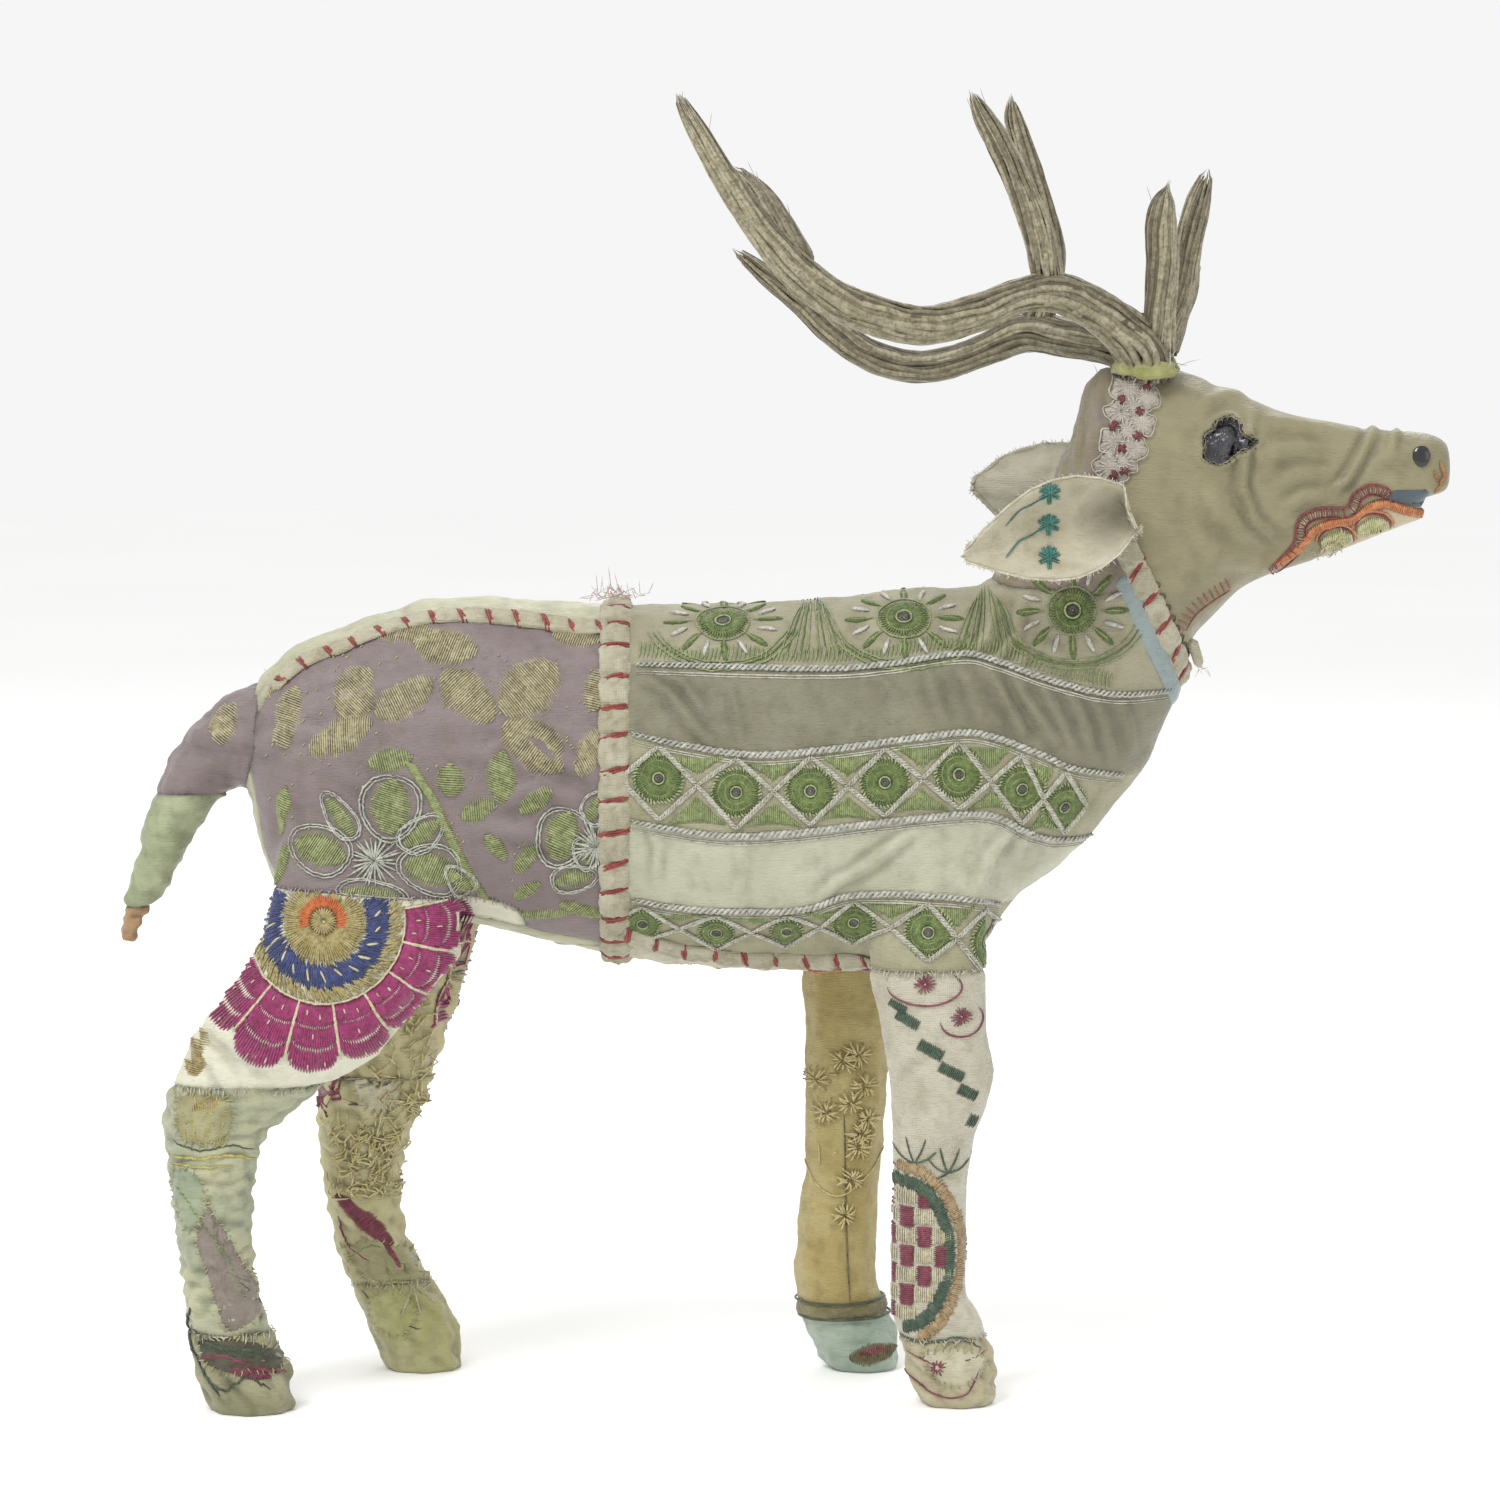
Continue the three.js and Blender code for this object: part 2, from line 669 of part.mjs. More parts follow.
function makeHeadCovers() {
  const skin = cutAll(shell(gap, clothOuter), [mouthCut, ...pegBores, ...sockets]);
  const face = skin.intersect(ahead(collarLine, gap / 2));
  const grown = jawOutline.map(([x, z], i) => [x - (i < 2 ? gap : 0), z + (i > 1 && i < 6 ? gap : 0)]);
  part("face_cover", largest(face.subtract(prism(grown))), 0xb5a884);
  part("jaw_cover", largest(face.intersect(prism(jawOutline))), 0xb0703c);
  const lining = bodyForm(0).intersect(prism(liningOutline));
  part("mouth_lining", largest(lining), 0x4a5258);
}

function makeLimbCovers() {
  const uppers = { right_hind: 0xa03a78, left_hind: 0xb9a66f };
  const lowers = { right_hind: 0x9fa986, left_hind: 0xa8a070 };
  for (const [name, leg] of Object.entries(legs)) {
    const cloth = sleeve(leg.form, gap, clothOuter).subtract(bodyForm(gap));
    const above = cloth.intersect(slab.z(leg.hoof + gap / 2, FAR));
    if (leg.split) {
      part(name + "_thigh_cover", largest(above.intersect(slab.z(leg.split + gap / 2, FAR))), uppers[name]);
      part(name + "_shin_cover", largest(above.intersect(slab.z(-FAR, leg.split - gap / 2))), lowers[name]);
    } else {
      part(name + "_cover", largest(above), name === "right_fore" ? 0xd0c8b0 : 0xb89a52);
    }
  }
  const hoofColors = { right_hind: 0x4c5340, left_hind: 0x8b8a48, right_fore: 0xb7ab8c, left_fore: 0x9db5a6 };
  for (const [name, leg] of Object.entries(legs)) {
    const hoof = leg.form(clothOuter).intersect(slab.z(0, leg.hoof - gap / 2)).subtract(legBores[name]);
    part(name + "_hoof", largest(hoof), hoofColors[name]);
  }
  const cuffBand = slab.z(legs.left_fore.hoof - cuffWidth / 2, legs.left_fore.hoof + cuffWidth / 2);
  const cuff = sleeve(legs.left_fore.form, tapeInner, tapeInner + ribbonThickness).intersect(cuffBand);
  part("left_fore_cuff", cuff, 0x6a6b46);
}

function makeTailCovers() {
  const cloth = sleeve(tailForm, gap, clothOuter).subtract(bodyForm(gap)).subtract(spineBore);
  part("tail_root_cover", largest(cloth.intersect(slab.z(tailSplit + gap / 2, FAR))), LILAC);
  const lower = cloth.intersect(slab.z(tailTipTop + gap / 2, tailSplit - gap / 2));
  part("tail_wrap", largest(lower), 0x9aa97d);
  part("tail_tip", largest(tailForm(gap).intersect(slab.z(-FAR, tailTipTop - gap / 2))), 0xa8795a);
}

function makeTapes() {
  const band = cutAll(shell(tapeInner, tapeInner + tapeThickness), limbHoles);
  const half = girthTapeWidth / 2;
  part("girth_tape", band.intersect(slab.x(girthFromRump - half, girthFromRump + half)), CREAM);
  const spineStrip = block(
    [spineTapeTail, -spineTapeOffset - spineTapeWidth / 2, legLength + torsoDepth / 2],
    [girthFromRump - half - gap, -spineTapeOffset + spineTapeWidth / 2, FAR],
  );
  part("spine_tape", largest(band.intersect(spineStrip)), CREAM);
  const bellyStart = girthFromRump + half + gap;
  const bellyStrip = slab.x(bellyStart, torsoLength - bellyTapeFromChest)
    .intersect(slab.y(-FAR, 0))
    .intersect(above(bellyLine, -bellyTapeWidth / 2))
    .intersect(below(bellyLine, -bellyTapeWidth / 2));
  part("belly_tape", largest(band.intersect(bellyStrip)), CREAM);
  const underEars = slab.z(-FAR, earPlace[1] - collarClearOfEar);
  const collar = ahead(collarLine, gap).intersect(behind(collarLine, -gap - collarTapeWidth));
  part("collar_tape", largest(band.intersect(collar).intersect(underEars)), CREAM);
  const thin = cutAll(shell(tapeInner, tapeInner + ribbonThickness), limbHoles);
  const ribbon = ahead(collarLine, -ribbonWidth - gap).intersect(behind(collarLine, gap));
  part("collar_ribbon", largest(thin.intersect(ribbon).intersect(underEars)), 0x9fb7bb);
  const tabTop = headPoint(26, 0);
  const tab = wire([
    new THREE.Vector3(tabTop[0] - 2, -4, tabTop[1] + 8),
    new THREE.Vector3(tabTop[0] + 2, -4.5, tabTop[1]),
    new THREE.Vector3(tabTop[0] + 5, -5, tabTop[1] - 7),
  ], tabWidth / 2, 7);
  part("throat_tab", largest(tab.subtract(bodyForm(tapeInner + tapeThickness + gap))), CREAM);
}

// An ear is a cupped leaf of stiffened cloth, hollow side out.
function ear(sign, round) {
  const root = new THREE.Vector3(
    earPlace[0], sign * (sideAt(earPlace, clothOuter) + earClearance + earThickness), earPlace[1],
  );
  const axis = new THREE.Vector3(-0.92, 0.36 * sign, round ? 0.06 : -0.25).normalize();
  const length = round ? farEarLength : earLength;
  const out = new THREE.Vector3(0, sign, 0).projectOnPlane(axis).normalize();
  const up = new THREE.Vector3().crossVectors(axis, out).normalize();
  const across = 6;
  const lengthwise = 7;
  const outline = (u) => Math.pow(Math.sin(Math.PI * Math.min(0.14 + 0.86 * u, 1)), round ? 0.6 : 0.85);
  const rings = [];
  for (let i = 0; i <= lengthwise; i += 1) {
    const u = i / lengthwise;
    const half = Math.max((earWidth / 2) * outline(u), earTipHalf);
    const cup = half * earCup;
    const spot = (v, lift) => {
      const lean = Math.atan(2 * earCup * v);
      return root.clone()
        .addScaledVector(axis, u * length)
        .addScaledVector(up, v * half - lift * Math.sin(lean))
        .addScaledVector(out, cup * v * v + lift * Math.cos(lean) + earStandoff);
    };
    const ring = [];
    for (let j = 0; j <= across; j += 1) ring.push(spot((2 * j) / across - 1, earThickness / 2));
    for (let j = across; j >= 0; j -= 1) ring.push(spot((2 * j) / across - 1, -earThickness / 2));
    rings.push(ring);
  }
  return skinned(rings);
}

function makeHeadPieces() {
  for (const [name, bead] of Object.entries(beads)) {
    const shiny = name.endsWith("eye") ? { roughness: 0.15, metalness: 0.4 } : { roughness: 0.3 };
    part(name, ellipsoid(bead.centre, bead.halves), name.endsWith("eye") ? 0x2a2b33 : 0x141416, shiny);
  }
  part("right_ear", ear(-1, false), 0xd2cbb0);
  part("left_ear", ear(1, true), 0xcbc7b6);
  const beamRoots = [twig(RIGHT_BEAM_ROWS, -1, { grow: gap }), twig(LEFT_BEAM_ROWS, 1, { grow: gap })];
  const lace = cutAll(shell(tapeInner, tapeInner + laceThickness), [...pegBores, ...beamRoots]);
  const strip = slab.z(earPlace[1] + collarClearOfEar, headPoint(0, 94)[1])
    .intersect(ahead(collarLine, -laceClearOfCollar))
    .intersect(behind(collarLine, -laceReach));
  part("right_crown_lace", largest(lace.intersect(strip).intersect(slab.y(-FAR, -laceParting))), 0xc7bcae);
  part("left_crown_lace", largest(lace.intersect(strip).intersect(slab.y(laceParting, FAR))), 0xc7bcae);
}

function makeAntlers() {
  const skull = bodyForm(clothOuter + gap);
  const tines = {
    right: { upright_tine: [RIGHT_UPRIGHT_ROWS], back_tine: [RIGHT_BACK_ROWS], brow_tine: [RIGHT_BROW_ROWS] },
    left: { upright_tine: [LEFT_UPRIGHT_ROWS], brow_tine: [LEFT_BROW_ROWS, LEFT_SIDE_BROW_ROWS] },
  };
  const beams = { right: RIGHT_BEAM_ROWS, left: LEFT_BEAM_ROWS };
  for (const [side, sign] of Object.entries(SIDES)) {
    const bore = pegBores[sign < 0 ? 0 : 1];
    part(side + "_antler_beam", largest(cutAll(twig(beams[side], sign), [skull, bore])), SILK_GREY);
    const clear = twig(beams[side], sign, { grow: gap });
    for (const [name, bundles] of Object.entries(tines[side])) {
      const tine = bundles.map((rows) => twig(rows, sign)).reduce((a, b) => a.add(b));
      part(side + "_" + name, largest(cutAll(tine, [skull, clear, bore])), SILK_GREY);
    }
  }
}

makeCores();
makeWires();
makeBodyCovers();
makeHeadCovers();
makeLimbCovers();
makeTailCovers();
makeTapes();
makeHeadPieces();
makeAntlers();

// The assembly, centred over the ground.
function meshOf({ name, shape, color, roughness, metalness }) {
  const { vertProperties, triVerts } = shape.getMesh();
  const geometry = new THREE.BufferGeometry();
  geometry.setAttribute("position", new THREE.BufferAttribute(new Float32Array(vertProperties), 3));
  geometry.setIndex(new THREE.BufferAttribute(new Uint32Array(triVerts), 1));
  const material = new THREE.MeshStandardMaterial({ color, roughness, metalness, flatShading: true });
  const mesh = new THREE.Mesh(geometry, material);
  mesh.name = name;
  return mesh;
}

const stag = new THREE.Group();
parts.forEach((piece) => stag.add(meshOf(piece)));
const extent = new THREE.Box3().setFromObject(stag);
const middle = extent.getCenter(new THREE.Vector3());
stag.position.set(-middle.x, -middle.y, -extent.min.z);

export default stag;
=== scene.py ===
import math

import bpy
import numpy as np
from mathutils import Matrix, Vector
from mathutils.bvhtree import BVHTree


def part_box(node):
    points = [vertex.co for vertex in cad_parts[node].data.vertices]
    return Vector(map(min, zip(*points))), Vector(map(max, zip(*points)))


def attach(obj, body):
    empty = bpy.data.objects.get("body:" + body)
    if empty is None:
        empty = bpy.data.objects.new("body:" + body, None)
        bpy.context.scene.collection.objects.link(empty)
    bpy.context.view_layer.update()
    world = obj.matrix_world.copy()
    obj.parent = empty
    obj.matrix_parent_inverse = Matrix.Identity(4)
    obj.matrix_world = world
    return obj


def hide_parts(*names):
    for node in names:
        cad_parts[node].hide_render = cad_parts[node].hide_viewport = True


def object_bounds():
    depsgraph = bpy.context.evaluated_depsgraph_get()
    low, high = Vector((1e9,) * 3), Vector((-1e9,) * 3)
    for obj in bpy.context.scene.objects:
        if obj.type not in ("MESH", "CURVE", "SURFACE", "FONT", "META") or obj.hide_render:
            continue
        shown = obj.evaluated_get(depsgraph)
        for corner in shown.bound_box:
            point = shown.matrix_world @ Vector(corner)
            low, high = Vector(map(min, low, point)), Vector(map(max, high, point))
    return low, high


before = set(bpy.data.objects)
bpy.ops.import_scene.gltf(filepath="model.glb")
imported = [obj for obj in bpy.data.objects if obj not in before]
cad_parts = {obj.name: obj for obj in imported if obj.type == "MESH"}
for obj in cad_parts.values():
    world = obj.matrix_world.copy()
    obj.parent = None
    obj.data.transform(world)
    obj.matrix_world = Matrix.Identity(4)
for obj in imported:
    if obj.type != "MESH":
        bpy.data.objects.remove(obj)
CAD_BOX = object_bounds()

MM = 0.001
RNG = np.random.default_rng(11)
RIGHT, LEFT = -1, 1
SIDES = (("right", RIGHT), ("left", LEFT))
# Cloth thicknesses, where a line from the side starts and how far it reaches,
# and the strands of floss laid round one twig.
SKIN_THICKNESS, EAR_THICKNESS, SCRAP_THICKNESS = 0.7, 0.9, 0.5
BESIDE, ACROSS = 90, 200
FLOSS_STRANDS = 34


# Places.
def corner(node):
    """A node's lowest corner, in millimetres."""
    return np.array(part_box(node)[0]) / MM


def far_corner(node):
    return np.array(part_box(node)[1]) / MM


def middle(node):
    return (corner(node) + far_corner(node)) / 2


def from_corner(node, places):
    """Places along and up the stag's side, given from a node's lowest rear corner."""
    x, _, z = corner(node)
    return [(x + along, z + up) for along, up in places]


# Meshes.
def mesh_object(name, points, faces, material=None):
    """points in millimetres; faces an array of quads or triangles, or a list of such arrays."""
    groups = [np.asarray(f) for f in (faces if isinstance(faces, list) else [faces]) if len(f)]
    sizes = np.concatenate([np.full(len(g), g.shape[1]) for g in groups])
    corners = np.concatenate([g.ravel() for g in groups])
    mesh = bpy.data.meshes.new(name)
    mesh.vertices.add(len(points))
    mesh.vertices.foreach_set("co", (np.asarray(points) * MM).astype(np.float32).ravel())
    mesh.loops.add(len(corners))
    mesh.loops.foreach_set("vertex_index", corners.astype(np.int32))
    mesh.polygons.add(len(sizes))
    starts = np.concatenate([[0], np.cumsum(sizes)[:-1]])
    mesh.polygons.foreach_set("loop_start", starts.astype(np.int32))
    mesh.polygons.foreach_set("loop_total", sizes.astype(np.int32))
    mesh.polygons.foreach_set("use_smooth", np.full(len(sizes), True))
    mesh.update(calc_edges=True)
    piece = bpy.data.objects.new(name, mesh)
    bpy.context.scene.collection.objects.link(piece)
    if material:
        mesh.materials.append(material)
    return piece


def points_of(mesh):
    flat = np.zeros(len(mesh.vertices) * 3, np.float32)
    mesh.vertices.foreach_get("co", flat)
    return flat.reshape(-1, 3).astype(float) / MM


def triangles_of(mesh):
    mesh.calc_loop_triangles()
    flat = np.zeros(len(mesh.loop_triangles) * 3, np.int32)
    mesh.loop_triangles.foreach_get("vertices", flat)
    return flat.reshape(-1, 3)


def quads_of(mesh):
    flat = np.zeros(len(mesh.loops), np.int32)
    mesh.loops.foreach_get("vertex_index", flat)
    return flat.reshape(-1, 4)


def unit(v):
    length = np.linalg.norm(v, axis=-1, keepdims=True)
    return v / np.maximum(length, 1e-9)


def heading(degrees):
    """A unit step along a direction."""
    way = math.radians(degrees)
    return np.array([math.cos(way), math.sin(way)])


def headings(turns):
    """Unit steps along many directions, given in radians."""
    return np.stack([np.cos(turns), np.sin(turns)], 1)


def aside(ways):
    """Flat directions turned a quarter to the right."""
    return np.stack([ways[:, 1], -ways[:, 0]], 1)


def grid_faces(rows, columns):
    index = np.arange(rows * columns).reshape(rows, columns)
    return np.stack([index[:-1, :-1], index[1:, :-1], index[1:, 1:], index[:-1, 1:]], -1).reshape(-1, 4)


def thicken(piece, thickness):
    """Gives a sheet the thickness of its cloth, inwards."""
    wall = piece.modifiers.new("cloth", "SOLIDIFY")
    wall.thickness = thickness * MM
    wall.offset = -1


def set_painted_shade(piece, depths):
    """Stores each point's painted shade, darker in folds, seam grooves and hollows, as an attribute that the
    cloth material reads.
    """
    painted_shade = piece.data.attributes.new("painted_shade", "FLOAT", "POINT")
    painted_shade.data.foreach_set("value", depths.astype(np.float32))


def cast_sideways(tree, x, z, sign):
    """Where a line from the stag's side first meets a surface."""
    return tree.ray_cast((x, sign * BESIDE, z), (0, -sign, 0), ACROSS)[:2]


def normals_of(points, faces):
    a, b, c = points[faces[:, 0]], points[faces[:, 1]], points[faces[:, 2]]
    if faces.shape[1] == 4:
        flat = np.cross(c - a, points[faces[:, 3]] - b)
    else:
        flat = np.cross(b - a, c - a)
    total = np.zeros_like(points)
    for k in range(faces.shape[1]):
        np.add.at(total, faces[:, k], flat)
    return unit(total)


def finish_piece(piece, body="root", replaces=()):
    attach(piece, body)
    if replaces:
        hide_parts(*replaces)
    return piece


# Materials. All dyes are toned down by one share.
DYE = 0.74


def linear(code):
    channels = [((code >> shift) & 255) / 255 for shift in (16, 8, 0)]
    return [DYE * (c / 12.92 if c <= 0.04045 else ((c + 0.055) / 1.055) ** 2.4) for c in channels] + [1]


class Nodes:
    """A short way to write a material's nodes."""

    def __init__(self, name):
        self.material = bpy.data.materials.new(name)
        self.material.use_nodes = True
        self.tree = self.material.node_tree
        self.shader = self.tree.nodes["Principled BSDF"]
        self.where = self.add("ShaderNodeTexCoord").outputs["Object"]

    def add(self, kind, **settings):
        node = self.tree.nodes.new(kind)
        for key, value in settings.items():
            setattr(node, key, value)
        return node

    def link(self, source, target):
        self.tree.links.new(source, target)

    def scaled(self, scale):
        node = self.add("ShaderNodeVectorMath", operation="MULTIPLY")
        self.link(self.where, node.inputs[0])
        node.inputs[1].default_value = scale
        return node.outputs[0]

    def noise(self, scale, detail=3, low=0.35, high=0.65, stretch=(1, 1, 1)):
        node = self.add("ShaderNodeTexNoise")
        node.inputs["Scale"].default_value = scale
        node.inputs["Detail"].default_value = detail
        self.link(self.scaled(stretch), node.inputs["Vector"])
        ramp = self.add("ShaderNodeMapRange")
        ramp.inputs["From Min"].default_value = low
        ramp.inputs["From Max"].default_value = high
        self.link(node.outputs[0], ramp.inputs["Value"])
        return ramp.outputs[0]

    def waves(self, period, direction, distortion=0.6):
        node = self.add("ShaderNodeTexWave", bands_direction=direction)
        node.inputs["Scale"].default_value = 2 * math.pi / (20 * period * MM)
        node.inputs["Distortion"].default_value = distortion
        self.link(self.where, node.inputs["Vector"])
        return node.outputs["Fac"]

    def mix(self, factor, a, b):
        node = self.add("ShaderNodeMix", data_type="RGBA")
        self.put(node.inputs["Factor"], factor)
        self.put(node.inputs[6], a)
        self.put(node.inputs[7], b)
        return node.outputs[2]

    def math(self, operation, a, b):
        node = self.add("ShaderNodeMath", operation=operation)
        self.put(node.inputs[0], a)
        self.put(node.inputs[1], b)
        return node.outputs[0]

    def attribute(self, name):
        return self.add("ShaderNodeAttribute", attribute_name=name).outputs["Fac"]

    def put(self, socket, value):
        if isinstance(value, bpy.types.NodeSocket):
            self.link(value, socket)
        elif isinstance(value, int) and socket.type == "RGBA":
            socket.default_value = linear(value)
        else:
            socket.default_value = value

    def bump(self, height, distance, below=None):
        node = self.add("ShaderNodeBump")
        node.inputs["Distance"].default_value = distance * MM
        node.inputs["Strength"].default_value = 1
        self.put(node.inputs["Height"], height)
        if below:
            self.link(below, node.inputs["Normal"])
        return node.outputs[0]

    def done(self, color, roughness, normal=None, **sockets):
        self.put(self.shader.inputs["Base Color"], color)
        self.put(self.shader.inputs["Roughness"], roughness)
        if normal:
            self.link(normal, self.shader.inputs["Normal"])
        for key, value in sockets.items():
            self.shader.inputs[key.replace("_", " ").title()].default_value = value
        return self.material


def cloth(name, base, worn, stain, thread=0.42, weave=0.05, satin=False, blotch=60, shade=0.55):
    """Woven cloth: two stains at different sizes, painted shade in the folds and seam grooves, and a weave of
    the thread's own pitch.
    """
    n = Nodes(name)
    patchy = n.mix(n.noise(blotch, 4), base, worn)
    soiled = n.mix(n.math("MULTIPLY", n.noise(blotch * 2.7, 5, 0.5, 0.75), 0.6), patchy, stain)
    flecked = n.mix(n.math("MULTIPLY", n.noise(1900, 2, 0.5, 0.7), 0.22), soiled, worn)
    # Painted shade: the colour mixes towards dark brown by the skin's per-point shade attribute, times the
    # shade share.
    painted_shade_amount = n.math("MULTIPLY", n.attribute("painted_shade"), shade)
    color = n.mix(painted_shade_amount, flecked, 0x3A3527)
    warp = n.waves(thread, "X")
    weft = n.waves(thread * 1.15, "Z")
    woven = n.math("ADD", n.math("MULTIPLY", warp, 0.4 if satin else 0.9), weft)
    slubs = n.bump(n.noise(420, 3, stretch=(1, 1, 6)), 0.12)
    normal = n.bump(woven, weave * (0.6 if satin else 1), slubs)
    rough = n.add("ShaderNodeMapRange")
    n.link(n.noise(150, 3), rough.inputs["Value"])
    rough.inputs["To Min"].default_value = 0.42 if satin else 0.78
    rough.inputs["To Max"].default_value = 0.66 if satin else 0.95
    return n.done(color, rough.outputs[0], normal, sheen_weight=0.25, sheen_roughness=0.45)


def thread(name, base, light, dark, gloss=0.5, fibre=520):
    """Sewing thread or floss: uneven dye from stitch to stitch, and fine fibres."""
    n = Nodes(name)
    uneven = n.mix(n.noise(330, 3), base, light)
    color = n.mix(n.math("MULTIPLY", n.noise(950, 3, 0.45, 0.7), 0.75), uneven, dark)
    normal = n.bump(n.noise(fibre * 5, 2, 0.3, 0.7), 0.05)
    return n.done(color, gloss, normal, sheen_weight=0.2, sheen_roughness=0.4)


# Stage.
def make_stage():
    low, high = CAD_BOX
    centre = (low + high) / 2
    aim = centre + Vector((-9.6, 0, -0.6)) * MM
    away, rise = 1.9, math.radians(6)
    camera = bpy.data.cameras.new("camera")
    camera.lens = 151.2
    camera.sensor_width = 36
    eye = bpy.data.objects.new("camera", camera)
    eye.location = aim + Vector((0, -math.cos(rise), math.sin(rise))) * away
    eye.rotation_euler = (math.pi / 2 - rise, 0, 0)
    bpy.context.scene.collection.objects.link(eye)
    bpy.context.scene.camera = eye
    floor = mesh_object("floor", [(-4000, -4000, 0), (4000, -4000, 0), (4000, 4000, 0), (-4000, 4000, 0)],
                        np.array([[0, 1, 2, 3]]))
    n = Nodes("paper_floor")
    fibres = n.add("ShaderNodeValToRGB")
    n.link(n.noise(3, 2), fibres.inputs["Fac"])
    fibres.color_ramp.elements[0].color = (0.975, 0.975, 0.97, 1)
    fibres.color_ramp.elements[1].color = (0.99, 0.99, 0.985, 1)
    floor.data.materials.append(n.done(fibres.outputs["Color"], 0.9))
    world = bpy.data.worlds.new("soft_room")
    bpy.context.scene.world = world
    world.use_nodes = True
    world.node_tree.nodes["Background"].inputs["Color"].default_value = (1, 1, 1, 1)
    world.node_tree.nodes["Background"].inputs["Strength"].default_value = 0.92
    for name, place, size, power in (
        ("key", (-0.7, -1.1, 1.7), 0.7, 22), ("fill", (1.3, -1.0, 0.7), 0.9, 2),
        ("back", (0.2, 1.4, 1.3), 0.9, 7),
    ):
        light = bpy.data.lights.new(name, "AREA")
        light.size = size
        light.energy = power
        lamp = bpy.data.objects.new(name, light)
        lamp.location = place
        lamp.rotation_euler = (aim - lamp.location).to_track_quat("-Z", "Y").to_euler()
        bpy.context.scene.collection.objects.link(lamp)
    bpy.context.scene.view_settings.view_transform = "Standard"


make_stage()


# The skin: one smooth form grown from all the stuffed nodes, later cut into its panels.
PANELS = {
    "right_rump_cover": ("right_rump_cloth", "rump_cloth"),
    "left_rump_cover": ("left_rump_silk", "back_cloth"),
    "flank_cover": ("flank_silk", "flank_cloth"),
    "neck_cover": ("neck_brocade", "neck_cloth"),
    "belly_panel": ("belly_cotton", "belly_cloth"),
    "face_cover": ("face_silk", "face_cloth"),
    "jaw_cover": ("jaw_embroidery", "jaw_cloth"),
    "right_hind_thigh_cover": ("right_thigh_cotton", "right_thigh_cloth"),
    "left_hind_thigh_cover": ("left_thigh_cotton", "left_thigh_cloth"),
    "right_hind_shin_cover": ("right_shin_silk", "right_shin_cloth"),
    "left_hind_shin_cover": ("left_shin_cotton", "left_shin_cloth"),
    "right_fore_cover": ("right_fore_linen_leg", "right_fore_linen"),
    "left_fore_cover": ("left_fore_velvet_leg", "left_fore_velvet"),
    "right_hind_hoof": ("right_hind_hoof_wrap", "hoof_dark_cloth"),
    "left_hind_hoof": ("left_hind_hoof_wrap", "hoof_olive_cloth"),
    "right_fore_hoof": ("right_fore_hoof_wrap", "hoof_cream_cloth"),
    "left_fore_hoof": ("left_fore_hoof_wrap", "hoof_aqua_cloth"),
    "tail_root_cover": ("tail_root_cloth", "rump_cloth"),
    "tail_wrap": ("tail_wrap_silk", "tail_wrap_cloth"),
    "tail_tip": ("tail_tip_rag", "tail_tip_cloth"),
}
LABELS = list(PANELS)
SLENDER = [i for i, node in enumerate(LABELS) if "hind" in node or "fore" in node or "tail" in node]
HEAD = [LABELS.index("face_cover"), LABELS.index("jaw_cover")]
VOXEL = 0.85
SWELL = 0.45


def stuffed_nodes():
    loose = ("tape", "ribbon", "tab", "ear", "lace", "antler", "tine", "cuff")
    pegs = ["right_antler_peg", "left_antler_peg"]
    return [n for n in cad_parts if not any(word in n for word in loose)] + pegs


def welded(node):
    """A node's points and triangles with its split corners joined."""
    points = points_of(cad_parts[node].data)
    keys, back = np.unique(np.round(points, 3), axis=0, return_inverse=True)
    faces = back.reshape(-1)[triangles_of(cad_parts[node].data)]
    whole = (faces[:, 0] != faces[:, 1]) & (faces[:, 1] != faces[:, 2]) & (faces[:, 0] != faces[:, 2])
    return keys, faces[whole]


def swollen_form():
    """All stuffed nodes, each swollen until it meets its neighbours, as one voxel surface."""
    points, faces, count = [], [], 0
    for node in stuffed_nodes():
        p, f = welded(node)
        points.append(p + normals_of(p, f) * SWELL)
        faces.append(f + count)
        count += len(p)
    rough = mesh_object("rough_form", np.concatenate(points), np.concatenate(faces))
    remesh = rough.modifiers.new("voxels", "REMESH")
    remesh.mode = "VOXEL"
    remesh.voxel_size = VOXEL * MM
    evaluated = rough.evaluated_get(bpy.context.evaluated_depsgraph_get())
    mesh = bpy.data.meshes.new_from_object(evaluated)
    points, faces = points_of(mesh), quads_of(mesh)
    bpy.data.objects.remove(rough)
    bpy.data.meshes.remove(mesh)
    return outermost(points, faces)


def outermost(points, faces):
    """Drops the closed surfaces inside the form, such as a wire's bore."""
    group = np.arange(len(points))
    for _ in range(400):
        low = group[faces].min(1)
        new = group.copy()
        for k in range(4):
            np.minimum.at(new, faces[:, k], low)
        new = new[new]
        if (new == group).all():
            break
        group = new
    names, counts = np.unique(group, return_counts=True)
    keep = group == names[np.argmax(counts)]
    index = np.cumsum(keep) - 1
    return points[keep], index[faces[keep[faces[:, 0]]]]


def edges_of(faces):
    pairs = np.concatenate([faces[:, [k, (k + 1) % 4]] for k in range(4)])
    return np.unique(np.sort(pairs, axis=1), axis=0)


def averager(edges, count):
    """A function that gives, for each point, the mean of a value over its neighbours."""
    both = np.concatenate([edges, edges[:, ::-1]])
    both = both[np.argsort(both[:, 0], kind="stable")]
    number = np.bincount(both[:, 0], minlength=count)
    has = np.flatnonzero(number)
    starts = np.concatenate([[0], np.cumsum(number[has])[:-1]])

    def mean(value):
        result = value.copy()
        summed = np.add.reduceat(value[both[:, 1]], starts, axis=0)
        result[has] = summed / number[has].reshape((-1,) + (1,) * (value.ndim - 1))
        return result

    return mean


